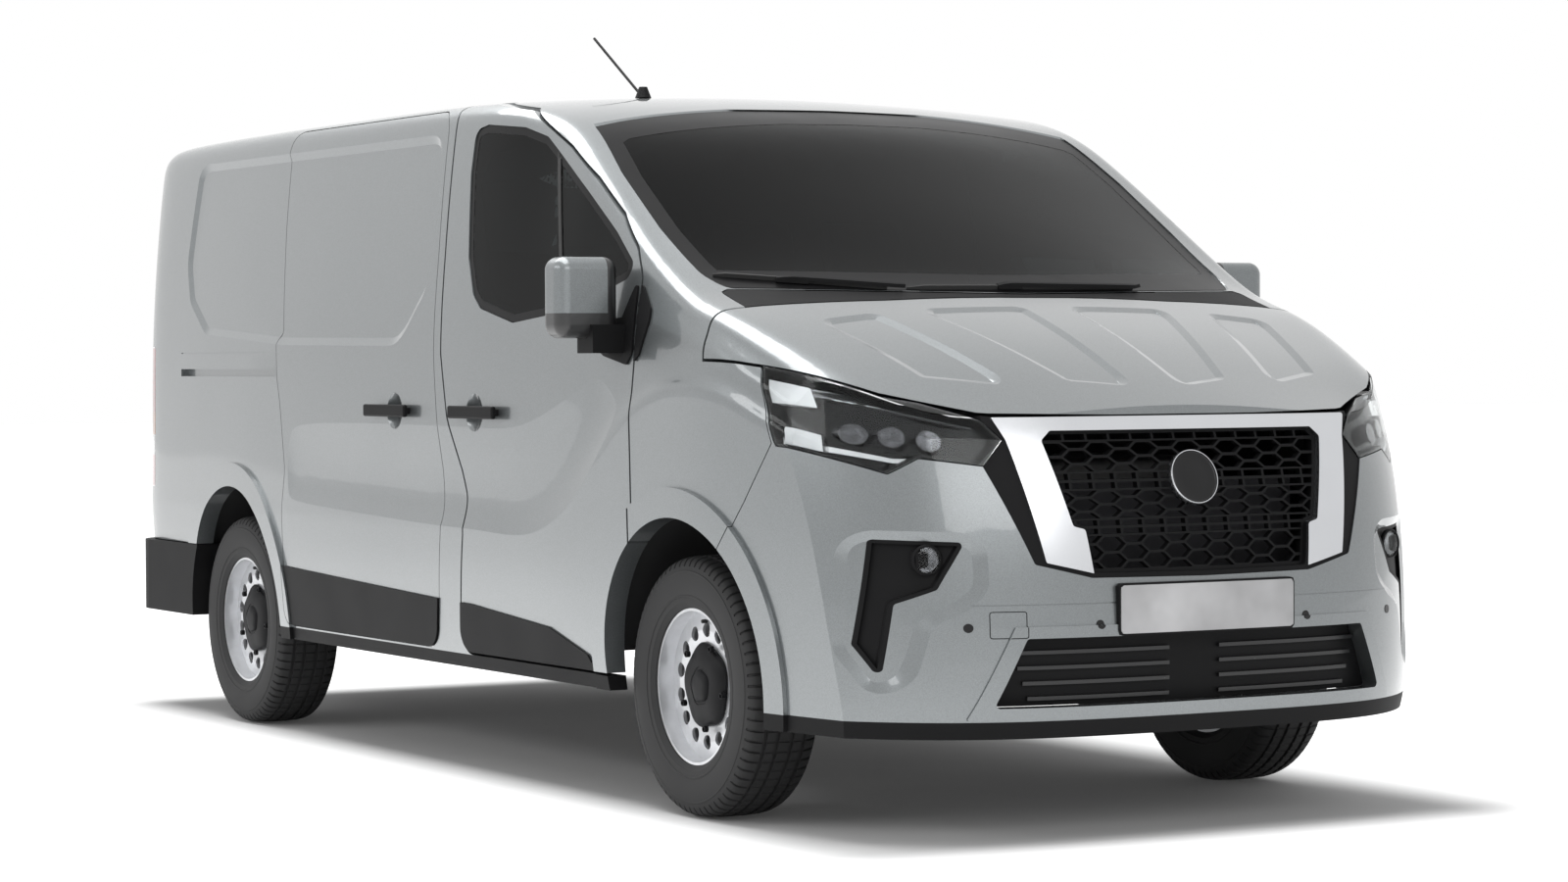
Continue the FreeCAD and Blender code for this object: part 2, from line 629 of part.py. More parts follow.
def bent_wire(points):
    curve = Part.BSplineCurve()
    curve.interpolate(Points=points, PeriodicFlag=True)
    return Part.Wire(curve.toShape())


def levelled(ring, inward, level):
    return [point - inward * point.dot(inward) + inward * level for point in ring]


def pressing(face, run, depth, met_at, inward, floor):
    """A field pressed into the skin along inward: its floor inside an edge that slopes over run."""
    outline = face.OuterWire.discretize(PRESSING_POINTS + 1)[:-1]
    edge = resized(face, -run).OuterWire
    rings = []
    for over in (-PRESSING_OVER_SHARE, 1 + PRESSING_OVER_SHARE):
        ring = []
        for point in outline:
            near = Part.Vertex(point).distToShape(edge)[1][0][1]
            ring.append(met_at(point + (near - point) * over) + inward * (depth * over))
        rings.append(ring)
    outside = min(point.dot(inward) for point in rings[0]) - depth
    inside = max(point.dot(inward) for point in rings[1]) + depth
    rings = [levelled(rings[0], inward, outside)] + rings + [levelled(rings[1], inward, inside)]
    return Part.makeLoft([bent_wire(ring) for ring in rings], True, True).cut(floor)


def side_recess():
    """The large flat field above the waist of the load space."""
    face = rounded_face(side_points(SIDE_RECESS_SHARES), S.recess_corner, on_side)
    return pressing(face, S.recess_run, S.recess_depth, side_met, Vector(1, 0, 0), skin(S.recess_depth))


def swage():
    """The long hollow over the crease that sweeps up to the windscreen pillar."""
    foot, head = (Part.BSplineCurve() for side in range(2))
    foot.interpolate(Points=[on_side(Vector(*point)) for point in side_points(SWAGE_FOOT_SHARES)])
    head.interpolate(Points=[on_side(Vector(*point)) for point in side_points(SWAGE_HEAD_SHARES)])
    rows = []
    for i in range(SWAGE_ROWS):
        along = i / (SWAGE_ROWS - 1)
        low = foot.value(foot.FirstParameter + (foot.LastParameter - foot.FirstParameter) * along)
        high = head.value(head.FirstParameter + (head.LastParameter - head.FirstParameter) * along)
        deep = S.swage_depth * max(0, math.sin(math.pi * along ** SWAGE_BIAS_POWER)) ** SWAGE_END_POWER
        row = []
        for up, share in SWAGE_SECTION_SHARES:
            into = deep * share - S.swage_clearance
            row.append(side_met(low + (high - low) * up) + Vector(into, 0, 0))
        rows.append(row)
    patch = Part.BSplineSurface()
    patch.interpolate(rows)
    return patch.toShape().extrude(Vector(-S.overrun, 0, 0))


def bonnet_fields():
    """Two long fields pressed into the bonnet, which leave its ribs standing."""
    made = []
    for shares in BONNET_FIELD_SHARES:
        points = [(-a * HALF_WIDTH, b * HALF_LENGTH) for a, b in shares]
        face = rounded_face(points, S.rib_corner, on_top)
        made.append(pressing(face, S.rib_run, S.rib_height, top_met, Vector(0, 0, -1), skin(S.rib_height)))
    return made


def fog_hollow():
    """The hollow of the front corner round the fog lamp."""
    points = [(-a * HALF_WIDTH, b * S.body_height) for a, b in FOG_HOLLOW_SHARES]
    face = rounded_face(points, S.recess_corner, on_front)
    return pressing(face, S.hollow_run, S.hollow_depth, nose_met, Vector(0, 1, 0), nose_block(S.hollow_depth))


class Body:
    """The solids that the panels are taken from, each made once."""


def make_body():
    body = Body()
    body.solid = skin(0)
    for tool in [side_recess(), swage()] + bonnet_fields() + [fog_hollow()]:
        body.solid = one_solid(body.solid.cut(both(tool)))
    body.room = skin(S.wall_thickness, -FOOT_SHARE)
    body.pane_out = skin(S.glass_depth)
    body.pane_in = skin(S.glass_depth + S.glass_thickness)
    shell = body.solid.cut(body.room)
    flared = skin(-S.flare_depth).common(Part.makeCompound(flare_rings()))
    flares = flared.cut(body.room)
    below = box((-WIDE, WIDE), (NOSE_Y - S.overrun, TAIL_Y), (-S.overrun, S.nose_height))
    skirt = box((-WIDE, WIDE), (FRONT_AXLE_Y, TAIL_Y), (-S.overrun, S.skirt_height))
    shell = shell.fuse(flares).cut(arch_lips() + [below, skirt])
    body.shell = one_solid(shell)
    return body


def flare_rings():
    rings = []
    for place, well in ARCH_PLACES:
        rings += both(cylinder_x(S.arch_radius + S.flare_width, S.well_inner, WIDE, place, S.arch_height))
    return rings


PIECES = []


def piece(label, shape):
    """A sub-part with its own solid or solids."""
    feature = doc.addObject("Part::Feature", label)
    feature.Label = label
    place = shape.Placement
    feature.Shape = shape
    feature.Placement = place
    PIECES.append(feature)
    return feature


DOOR_INNER = DOOR_INNER_SHARE * HALF_WIDTH


# Inner limit of the doors in front view, which leaves the front pillars whole behind their frames.
DOOR_INNER_SHARES = (
    (0.800, -0.10), (0.800, 0.690), (0.885, 0.760), (0.885, 0.860), (0.800, 0.950), (0.800, 1.10),
)


def side_block(shares, corner_share, growth=0):
    face = rounded_face(side_points(shares), corner_share * HALF_LENGTH, on_side)
    block = through_side(resized(face, growth), DOOR_INNER - growth, WIDE)
    limit = [(-a * HALF_WIDTH + growth, b * S.body_height) for a, b in DOOR_INNER_SHARES]
    limit += [(-WIDE, limit[-1][1]), (-WIDE, limit[0][1])]
    return block.common(through_front(rounded_face(limit, S.panel_gap, on_front), NOSE_Y, TAIL_Y))


def front_block(shares, growth=0, mirror_closed=True, corner_share=FRONT_CORNER_SHARE):
    points = front_points(shares) if mirror_closed else one_side_points(shares)
    face = rounded_face(points, corner_share * HALF_LENGTH, on_front)
    return through_front(resized(face, growth), NOSE_Y - S.overrun, FRONT_AXLE_Y)


def bonnet_block(growth):
    """The bonnet's space: above its lower edge and ahead of its rear edge."""
    edge = front_block(BONNET_EDGE_SHARES, growth)
    line = [(a * HALF_WIDTH, b * HALF_LENGTH + growth) for a, b in BONNET_REAR_SHARES]
    line += [(WIDE, NOSE_Y - S.overrun)]
    line += [(-x, y) for x, y in line[::-1] if x > 0]
    top = rounded_face(line, CORNER_REACH_SHARE, on_top)
    return edge.common(top.extrude(Vector(0, 0, S.body_height)))


def headlamp_block(growth):
    """One headlamp's space, on the right."""
    points = [(-x, z) for x, z in one_side_points(HEADLAMP_SHARES)]
    face = resized(rounded_face(points, S.panel_gap, on_front), growth)
    front = through_front(face, NOSE_Y - S.overrun, FRONT_AXLE_Y)
    rear = side_points(HEADLAMP_REAR_SHARES)
    rear = [(y + growth, z) for y, z in rear]
    rear += [(NOSE_Y - S.overrun, rear[-1][1]), (NOSE_Y - S.overrun, rear[0][1])]
    return front.common(through_side(rounded_face(rear, S.panel_gap, on_side), 0, WIDE))


def bumper_block(growth):
    """The front bumper's space: ahead of its seams on both sides."""
    face = rounded_face(side_points(BUMPER_REAR_SHARES), S.panel_gap, on_side)
    return through_side(resized(face, growth), -WIDE, WIDE)


def windscreen_block(growth):
    front = rounded_face(front_points(WINDSCREEN_SHARES), WINDSCREEN_CORNER_SHARE * HALF_LENGTH, on_front)
    front = through_front(resized(front, growth), NOSE_Y, 0)
    limit = rounded_face(side_points(WINDSCREEN_LIMIT_SHARES), S.panel_gap, on_side)
    return front.common(through_side(limit, -WIDE, WIDE))


WINDSCREEN_CORNER_SHARE = 0.02
WINDSCREEN_LIMIT_SHARES = ((-1.0, 0.60), (-0.56, 0.60), (-0.252, 0.98), (-1.0, 0.98))
COWL_SHARES = ((0.0, 0.60), (0.845, 0.60), (0.845, 0.690), (0.822, 0.694), (0.0, 0.688))
FENDER_REGION_SHARES = ((-1.2, 0.0), (-0.46, 0.0), (-0.46, 0.757), (-0.56, 0.790), (-1.2, 0.790))


def rear_door_block(growth):
    """The right rear door's space, seen from behind."""
    near = S.door_meeting_gap / 2 - growth
    foot, waist, head = [(a * HALF_WIDTH, b * S.body_height) for a, b in REAR_DOOR_SHARES]
    points = [(-near, foot[1]), (-foot[0], foot[1]), (-waist[0], waist[1]), (-head[0], head[1])]
    points.append((-near, head[1]))
    face = rounded_face(points, S.wall_thickness / 2, on_front)
    start = REAR_DOOR_FRONT_SHARE * FACE_Y - growth
    if growth:
        face = resized(face, growth)
    return through_front(face, start, TAIL_Y + S.overrun)


def glazed(panel, body, block, hole):
    """A panel with the rebate and the opening for its pane."""
    rebate = block.cut(body.pane_in)
    return one_solid(panel.cut([rebate, hole]))


def pane(body, block):
    return one_solid(body.pane_out.common(block).cut(body.pane_in))


def make_shell_panels(body):
    """All that is taken from the shell, with the gaps between."""
    shell = body.shell
    gap, seam = S.shut_gap, S.panel_gap
    door_out, door_in = (side_block(FRONT_DOOR_SHARES, DOOR_CORNER_SHARE, g) for g in (gap, 0))
    slider_out, slider_in = (side_block(SLIDING_DOOR_SHARES, DOOR_CORNER_SHARE, g) for g in (seam, 0))
    rear_in = rear_door_block(0)
    rear_out = rear_door_block(gap)
    bonnet_out, bonnet_in = bonnet_block(S.bonnet_gap), bonnet_block(0)
    lamp_out, lamp_in = headlamp_block(seam), headlamp_block(0)
    bumper_out, bumper_in = bumper_block(seam), bumper_block(0)
    screen_rebate, screen_hole = windscreen_block(0), windscreen_block(-S.glass_land)
    cowl_out, cowl_in = (front_block(COWL_SHARES, g, corner_share=LAYER_CORNER_SHARE) for g in (seam, 0))
    fender_region = rounded_face(side_points(FENDER_REGION_SHARES), seam, on_side)
    fender_region = through_side(fender_region, -WIDE, WIDE)
    sill_top = FRONT_DOOR_SHARES[-2][1] * S.body_height - gap
    sill_region = box((-WIDE, WIDE), (FRONT_AXLE_Y, REAR_AXLE_Y), (0, sill_top))
    lip_region = box((-WIDE, WIDE), (NOSE_Y - S.overrun, FRONT_AXLE_Y), (0, LIP_TOP))
    rear_bumper_region = box((-WIDE, WIDE), (REAR_AXLE_Y, TAIL_Y + S.overrun), (0, REAR_BUMPER_TOP + seam))
    tail_lamp_region = tail_lamp_block(0)

    front = shell.common(fender_region)
    rest = shell.cut([fender_region, slider_out, rear_out, mirrored(rear_out), sill_region,
                      rear_bumper_region, tail_lamp_region, screen_hole] + both(door_out))
    rest = rest.cut(screen_rebate.cut(body.pane_in))
    panels = {}
    panels["body_shell"] = one_solid(rest.cut(rail_slot()))
    panels["sills"] = sills(shell.common(sill_region))
    panels["sliding_door"] = one_solid(shell.common(slider_in))
    panels["tail_lamps"] = Part.makeCompound(largest_two(shell.common(tail_lamp_block(-seam))))
    panels["rear_door_right"] = one_solid(shell.common(rear_in))
    panels["bonnet"] = one_solid(shell.common(bonnet_in))
    door = one_solid(shell.common(door_in))
    panels["lamp"] = one_solid(front.common(lamp_in))
    front = front.cut(both(door_out) + [bonnet_out] + both(lamp_out))
    panels["front_lip"] = one_solid(front.common(lip_region))
    front = front.cut(lip_region)
    bumper = one_solid(front.common(bumper_in))
    fenders = front.cut([bumper_out, cowl_out, screen_hole])
    fenders = fenders.cut(screen_rebate.cut(body.pane_in))
    panels["front_fenders"] = Part.makeCompound(largest_two(fenders))
    cowl = front.common(cowl_in).cut([screen_hole, screen_rebate.cut(body.pane_in)])
    panels["cowl"] = one_solid(cowl)
    panels["windscreen"] = pane(body, windscreen_block(-S.bore_clearance))
    panels["bumper"] = bumper
    panels["door"] = door
    return panels


def largest_two(shape):
    return sorted(shape.Solids, key=lambda solid: -solid.Volume)[:2]


def sills(shape):
    return Part.makeCompound(largest_two(shape))


LIP_TOP_SHARE = 0.155
LIP_TOP = LIP_TOP_SHARE * S.body_height
REAR_BUMPER_TOP_SHARE = 0.292
REAR_BUMPER_TOP = REAR_BUMPER_TOP_SHARE * S.body_height
TAIL_LAMP_SHARES = ((0.905, 0.955), (0.385, 0.630))


def tail_lamp_block(growth):
    """The rear corners that the tail lamps take, both sides."""
    inner, start = TAIL_LAMP_SHARES[0]
    foot, head = TAIL_LAMP_SHARES[1]
    lamp = box((-WIDE, -inner * HALF_WIDTH + growth), (start * FACE_Y - growth, TAIL_Y),
               (foot * S.body_height - growth, head * S.body_height + growth))
    return Part.makeCompound(both(lamp))


# Fittings of the doors.
HANDLE_SHARES = {"front_door": (-0.149, -0.139, 0.5285), "sliding_door": (0.089, 0.081, 0.5285)}
RAIL_COVER_SHARES = (0.4545, 0.816, 0.579)
MIRROR_SHARES = ((-0.492, -0.449), (0.632, 0.741))
MIRROR_ARM_SHARES = ((-0.498, -0.462), (0.612, 0.650))
MIRROR_WIDTH_SHARE = 0.185
MIRROR_ROUND_SHARE = 0.036


def skin_layer(out, into, block):
    """The part of a block between two depths under the skin."""
    return skin(out).common(block).cut(skin(into))


def cladding(body_layer, growth=0):
    """Black cladding along the foot of the right side, with the skin it sits in."""
    face = rounded_face(side_points(CLADDING_SHARES), S.rim_sheet, on_side)
    return body_layer.common(through_side(resized(face, growth), DOOR_INNER, WIDE))


def handle(name):
    """A handle bar on two feet over its round recess, on the right side."""
    middle, height = HANDLE_SHARES[name][0], HANDLE_SHARES[name][2]
    y, z = middle * HALF_LENGTH, height * S.body_height
    face_x = skin_x(y, z)
    length, high, proud = S.handle_length, S.handle_height, S.handle_proud
    bar = Part.makeBox(proud / 2, length, high, Vector(-face_x - proud, y - length / 2, z - high / 2))
    bar = bar.makeFillet(proud * HANDLE_ROUND_SHARE, bar.Edges)
    foot_length = high
    feet = []
    for side in (-1, 1):
        start = y + side * (length / 2 - foot_length) - foot_length / 2
        feet.append(Part.makeBox(proud, foot_length, high / 2,
                                 Vector(-face_x - proud * HANDLE_FEET_SHARE, start, z - high / 4)))
    return bar.fuse(feet)


def cup_tool(name):
    """The round recess behind a handle."""
    cup, height = HANDLE_SHARES[name][1:]
    y, z = cup * HALF_LENGTH, height * S.body_height
    face_x = skin_x(y, z)
    radius = S.cup_radius
    ball = (radius ** 2 + S.cup_depth ** 2) / (2 * S.cup_depth)
    return Part.makeSphere(ball, Vector(-face_x - ball + S.cup_depth, y, z))


HANDLE_FEET_SHARE = 2 / 3
HANDLE_ROUND_SHARE = 0.2


def skin_x(y, z):
    """Half the width of the skin at one place."""
    return -side_met(Vector(0, y, z)).x


def mirror_head():
    """Mirror housing with its arm, on the right door."""
    (y0, y1), (z0, z1) = MIRROR_SHARES
    reach, width = S.mirror_reach, MIRROR_WIDTH_SHARE * HALF_WIDTH
    head = box((-reach, -reach + width), (y0 * HALF_LENGTH, y1 * HALF_LENGTH),
               (z0 * S.body_height, z1 * S.body_height))
    head = head.makeFillet(MIRROR_ROUND_SHARE * HALF_WIDTH, head.Edges)
    (y0, y1), (z0, z1) = MIRROR_ARM_SHARES
    middle = (z0 + z1) / 2 * S.body_height
    place = (y0 + y1) / 2 * HALF_LENGTH
    inner = skin_x(place, middle) - S.cladding_seat
    arm = box((-reach + width / 2, -inner), (y0 * HALF_LENGTH, y1 * HALF_LENGTH),
              (z0 * S.body_height, z1 * S.body_height))
    return head, arm


def wells(liner):
    """The four wheel wells: the sheet over each wheel, or the space inside it."""
    radius = WELL_RADIUS + (S.liner_thickness if liner else 0)
    low = S.floor_height - S.floor_thickness
    made = []
    for (place, inner), foot in zip(ARCH_PLACES, (low - S.rail_height, low)):
        start = inner - (S.liner_thickness if liner else 0)
        well = cylinder_x(radius, start, WIDE, place, S.arch_height)
        if liner:
            well = well.cut(box((-WIDE, 0), (place - radius, place + radius), (-S.overrun, foot)))
        made += both(well)
    return made


def underbody(body):
    """Floor, firewall, chassis rails and wheel wells as one welded piece."""
    top, low = S.floor_height, S.floor_height - S.floor_thickness
    fire_y = FRONT_AXLE_Y - S.firewall_setback
    floor = box((-WIDE, WIDE), (fire_y, FACE_Y - S.wall_thickness), (low, top))
    wall = box((-WIDE, WIDE), (fire_y - S.firewall_thickness, fire_y), (low, FIREWALL_TOP))
    inside = body.room.cut(body_front_limit())
    sheet_metal = floor.fuse([wall] + wells(True)).common(inside)
    rails = []
    inner, outer = S.rail_offset - S.rail_width / 2, S.rail_offset + S.rail_width / 2
    rail = box((-outer, -inner), (RAIL_FRONT_Y, RAIL_REAR_Y), (low - S.rail_height, low))
    rails += both(rail)
    foot, head = kingpin()
    line = (head - foot).normalize()
    seat = cylinder_between(S.strut_radius, head + line * S.bore_clearance, head + line * S.rail_width)
    made = sheet_metal.fuse(rails).cut(wells(False) + [rear_bumper()] + tow_holes())
    return one_solid(made.fuse([part.common(body.room) for part in both(seat)]))


def tow_holes():
    """Two holes across the rear end of each rail, where a tow bar is bolted on."""
    height = S.floor_height - S.floor_thickness - S.rail_height / 2
    holes = []
    for step in range(2):
        y = RAIL_REAR_Y - S.tow_hole_inset - S.tow_hole_spacing * step
        holes += both(cylinder_x(S.tow_hole_radius, 0, WIDE, y, height))
    return holes


FIREWALL_TOP_SHARE = 0.60
FIREWALL_TOP = FIREWALL_TOP_SHARE * S.body_height
RAIL_FRONT_SHARE = 0.93
RAIL_REAR_SHARE = 0.97
RAIL_FRONT_Y = -RAIL_FRONT_SHARE * HALF_LENGTH
RAIL_REAR_Y = RAIL_REAR_SHARE * FACE_Y


def body_front_limit():
    """Nothing of the floor passes ahead of the front wells."""
    return box((-WIDE, WIDE), (NOSE_Y - S.overrun, FRONT_AXLE_Y - WELL_RADIUS - S.wall_thickness),
               (0, S.floor_height - S.floor_thickness - S.rail_height - S.overrun))


def bulkhead(body):
    place = FRONT_AXLE_Y + S.bulkhead_place
    sheet_metal = box((-WIDE, WIDE), (place, place + S.bulkhead_thickness),
                      (S.floor_height, S.body_height))
    return one_solid(sheet_metal.common(body.room))


def seats():
    """Driver's seat on the left and a double bench on the right, each on its box."""
    place = FRONT_AXLE_Y + S.bulkhead_place - S.seat_length - SEAT_BACK_RUN
    solids = []
    bench_middle = -S.driver_offset + (S.bench_width - S.seat_width) / 2
    for middle, width in ((S.driver_offset, S.seat_width), (bench_middle, S.bench_width)):
        solids.append(one_seat(middle, width, place))
    return Part.makeCompound(solids)


SEAT_BACK_RUN_SHARE = 0.10
SEAT_BACK_RUN = SEAT_BACK_RUN_SHARE * HALF_LENGTH
SEAT_BOX_SHARE = 0.80
SEAT_LEAN_DEGREES = 14
HEADREST_SHARE = 0.5


def one_seat(middle, width, place):
    """Box, cushion, leaning back and headrests of one seat."""
    floor = S.floor_height
    under = S.seat_height - S.cushion_thickness
    length, thick = S.seat_length, S.cushion_thickness
    base_w, base_l = width * SEAT_BOX_SHARE, length * SEAT_BOX_SHARE
    corner = Vector(middle - base_w / 2, place + (length - base_l) / 2, floor)
    base = Part.makeBox(base_w, base_l, under, corner)
    cushion = Part.makeBox(width, length, thick, Vector(middle - width / 2, place, floor + under))
    cushion = cushion.makeFillet(thick / 4, cushion.Edges)
    back = Part.makeBox(width, S.back_thickness, S.back_height)
    back = back.makeFillet(S.back_thickness / 3, back.Edges)
    parts = [back]
    count = 2 if width > S.seat_width else 1
    rest_w, rest_h = S.seat_width * HEADREST_SHARE, S.back_thickness * 2
    for i in range(count):
        x = width * (i + HEADREST_SHARE) / count - rest_w / 2
        rest = Part.makeBox(rest_w, S.back_thickness, rest_h, Vector(x, 0, S.back_height - rest_h / 4))
        parts.append(rest.makeFillet(S.back_thickness / 3, rest.Edges))
    upper = parts[0].fuse(parts[1:])
    upper.Placement = Placement(
        Vector(middle - width / 2, place + length - S.back_thickness, floor + under + thick / 4),
        Rotation(Vector(1, 0, 0), -SEAT_LEAN_DEGREES))
    return base.fuse([cushion, upper])


# The dashboard in side view, as shares of its depth back from the firewall and of the height.
DASH_SHARES = (
    (0.0, 0.45), (0.0, 0.632), (0.30, 0.655), (0.85, 0.640), (1.0, 0.610), (0.92, 0.540), (0.55, 0.45),
)


def dashboard(body):
    start = FRONT_AXLE_Y - S.firewall_setback
    points = [(start + a * S.dash_depth, b * S.body_height) for a, b in DASH_SHARES]
    face = rounded_face(points, S.wall_thickness / 2, on_side)
    block = through_side(face, -WIDE, WIDE).common(body.room)
    return one_solid(block.cut(wells(True)))


def steering_frame():
    """Place and axis of the steering wheel."""
    place = Vector(S.driver_offset, FRONT_AXLE_Y - S.firewall_setback + S.dash_depth * WHEEL_BACK_SHARE,
                   WHEEL_HEIGHT_SHARE * S.body_height)
    lean = math.radians(WHEEL_LEAN_DEGREES)
    return place, Vector(0, math.cos(lean), math.sin(lean))


WHEEL_BACK_SHARE = 1.36
WHEEL_HEIGHT_SHARE = 0.605
WHEEL_LEAN_DEGREES = 38
COLUMN_SHARE = 0.14
SPOKE_DEGREES = (0, 180, 270)


def steering_wheel():
    """Rim, hub, three spokes and the shaft into the column."""
    place = steering_frame()[0]
    grip, radius = S.steering_grip, S.steering_radius
    rim = Part.makeTorus(radius - grip, grip)
    hub = Part.makeCylinder(radius * HUB_SHARE, grip * 2, Vector(0, 0, -grip * 2))
    hub = hub.makeFillet(grip / 2, hub.Edges)
    spokes = []
    for degrees in SPOKE_DEGREES:
        spoke = Part.makeBox(radius - grip, grip * 2, grip, Vector(0, -grip, -grip))
        spokes.append(spoke.rotated(Vector(), Vector(0, 0, 1), degrees))
    shaft = Part.makeCylinder(grip * SHAFT_SHARE, radius, Vector(0, 0, -radius))
    wheel = rim.fuse([hub, shaft] + spokes)
    wheel.Placement = Placement(place, Rotation(Vector(1, 0, 0), -90 + WHEEL_LEAN_DEGREES))
    return wheel


HUB_SHARE = 0.34
SHAFT_SHARE = 0.8


def column(dash):
    """Steering column from the dashboard towards the wheel, bored for the shaft."""
    place, axis = steering_frame()
    grip, radius = S.steering_grip, S.steering_radius
    end = place - axis * (radius * HUB_SHARE)
    tube = cylinder_between(grip * 3, place - axis * (S.dash_depth), end)
    bore = cylinder_between(grip * SHAFT_SHARE + S.bore_clearance, place - axis * (radius * 2), place)
    return one_solid(dash.fuse(tube).cut(bore))


def engine():
    """Engine and gearbox as one block on the rails, with the two drive shafts."""
    wide, long, high = S.engine_width, S.engine_length, S.engine_height
    low = S.floor_height - S.floor_thickness - S.rail_height
    back = FRONT_AXLE_Y - S.firewall_setback - S.firewall_thickness - S.panel_gap
    block = Part.makeBox(wide, long, high, Vector(-wide / 2, back - long, low))
    block = block.makeFillet(S.wall_thickness / 2, block.Edges)
    mount_low, mount_x = low + S.rail_height / 4, S.rail_offset - S.rail_width / 2
    mounts = box((-mount_x, mount_x), (back - long * MOUNT_SHARE, back - long / 2),
                 (mount_low, low + S.rail_height))
    foot = S.tyre_radius - S.gearbox_height / 3
    gearbox = box((-wide / 3, wide / 4), (back - long / 4, FRONT_AXLE_Y + S.gearbox_height / 2),
                  (foot, foot + S.gearbox_height))
    gearbox = gearbox.makeFillet(S.wall_thickness / 2, gearbox.Edges)
    reach = S.kingpin_foot - S.spring_radius * 2
    shaft = cylinder_between(S.shaft_radius, Vector(-reach, FRONT_AXLE_Y, S.tyre_radius),
                             Vector(reach, FRONT_AXLE_Y, S.tyre_radius))
    return block.fuse([mounts, gearbox, shaft])


MOUNT_SHARE = 2 / 3


def kingpin():
    """Foot and head of the right kingpin line."""
    foot = Vector(-S.kingpin_foot, FRONT_AXLE_Y, S.kingpin_foot_height)
    head = Vector(-S.kingpin_head, FRONT_AXLE_Y, S.kingpin_head_height)
    return foot, head


def subframe():
    """Front cross member, lower arms and strut towers."""
    high = S.subframe_height
    top = S.floor_height - S.floor_thickness - S.rail_height
    half = S.rail_offset + S.rail_width / 2
    start = FRONT_AXLE_Y + S.gearbox_height / 2 + S.panel_gap * 2
    end = start + S.subframe_length
    beam = box((-half, half), (start, end), (top - high, top))
    thick = S.arm_radius
    low = S.kingpin_foot_height - thick / 2
    root, tip = half - S.rail_width, S.spring_radius / 2
    waist = (half + S.kingpin_foot) / 2
    points = [(-foot_reach(), FRONT_AXLE_Y + tip), (-foot_reach(), FRONT_AXLE_Y - tip),
              (-waist, FRONT_AXLE_Y - tip), (-root, start), (-root, end), (-half, end),
              (-waist, FRONT_AXLE_Y + tip * ARM_SPREAD_SHARE)]
    arm = rounded_face(points, tip / 2, on_top)
    arm = arm.extrude(Vector(0, 0, thick)).translated(Vector(0, 0, low))
    hanger = box((-half, -root), (start, end), (low, top - high / 2))
    return one_solid(beam.fuse(both(arm.fuse(hanger))))


ARM_SPREAD_SHARE = 2.4


def foot_reach():
    return S.kingpin_foot + S.arm_radius / 2


def knuckle():
    """Right front knuckle: upright with ball joint, spindle, damper tube and spring."""
    foot, head = kingpin()
    line = head - foot
    line.normalize()
    axle_z = S.tyre_radius
    at_axle = foot + line * ((axle_z - foot.z) / line.z)
    start_z = S.kingpin_foot_height + S.arm_radius
    start = foot + line * ((start_z - foot.z) / line.z)
    top = at_axle + line * (S.tyre_radius * UPRIGHT_TOP_SHARE)
    upright = cylinder_between(S.strut_radius * UPRIGHT_SHARE, start, top)
    hub_end = S.front_track / 2 + S.disc_offset
    flange = S.hub_radius * HUB_FLANGE_SHARE
    hub = cylinder_x(flange, -at_axle.x - S.rim_flange, hub_end - S.spindle_length, FRONT_AXLE_Y, axle_z)
    spindle = cylinder_x(S.bore_radius - S.bore_clearance, -at_axle.x, hub_end, FRONT_AXLE_Y, axle_z)
    damper = cylinder_between(S.strut_radius, at_axle, head)
    seat_z = S.tyre_radius * 2 + S.rim_flange
    low = foot + line * ((seat_z - foot.z) / line.z)
    spring = cylinder_between(S.spring_radius, low, head)
    return one_solid(upright.fuse([hub, spindle, damper, spring]))


UPRIGHT_SHARE = 1.4
UPRIGHT_TOP_SHARE = 0.22
HUB_FLANGE_SHARE = 0.9


def rear_axle():
    """Cross beam, trailing arms, coil springs and spindles in one piece."""
    y, z = REAR_AXLE_Y, S.tyre_radius
    inner = S.rear_track / 2 - S.tyre_width / 2 - S.arm_radius - S.rim_flange
    spring_x = -(S.rear_well_inner - S.liner_thickness * 3 - S.spring_radius)
    beam_y = y - S.tyre_radius / 2
    beam = cylinder_between(S.beam_radius, Vector(-inner, beam_y, z), Vector(inner, beam_y, z))
    parts = []
    pivot = Vector(-inner, y - S.tyre_radius * PIVOT_SHARE, S.floor_height - S.floor_thickness - S.arm_radius)
    arm = cylinder_between(S.arm_radius, pivot, Vector(-inner, y, z))
    end = Part.makeSphere(S.arm_radius, Vector(-inner, y, z))
    hub_end = S.rear_track / 2 + S.disc_offset
    hub = cylinder_x(S.hub_radius * HUB_FLANGE_SHARE, inner, hub_end - S.spindle_length, y, z)
    spindle = cylinder_x(S.bore_radius - S.bore_clearance, inner, hub_end, y, z)
    spring = cylinder_between(S.spring_radius, Vector(spring_x, beam_y, z),
                              Vector(spring_x, beam_y, S.floor_height - S.floor_thickness))
    parts += both(arm.fuse([end, hub, spindle, spring]))
    return one_solid(beam.fuse(parts))


PIVOT_SHARE = 1.35


def fuel_tank():
    top = S.floor_height - S.floor_thickness
    start = FRONT_AXLE_Y + S.bulkhead_place
    x = S.rail_offset + S.rail_width / 2
    tank = Part.makeBox(S.tank_width, S.tank_length, S.tank_height, Vector(x, start, top - S.tank_height))
    return tank.makeFillet(S.wall_thickness / 2, tank.Edges)


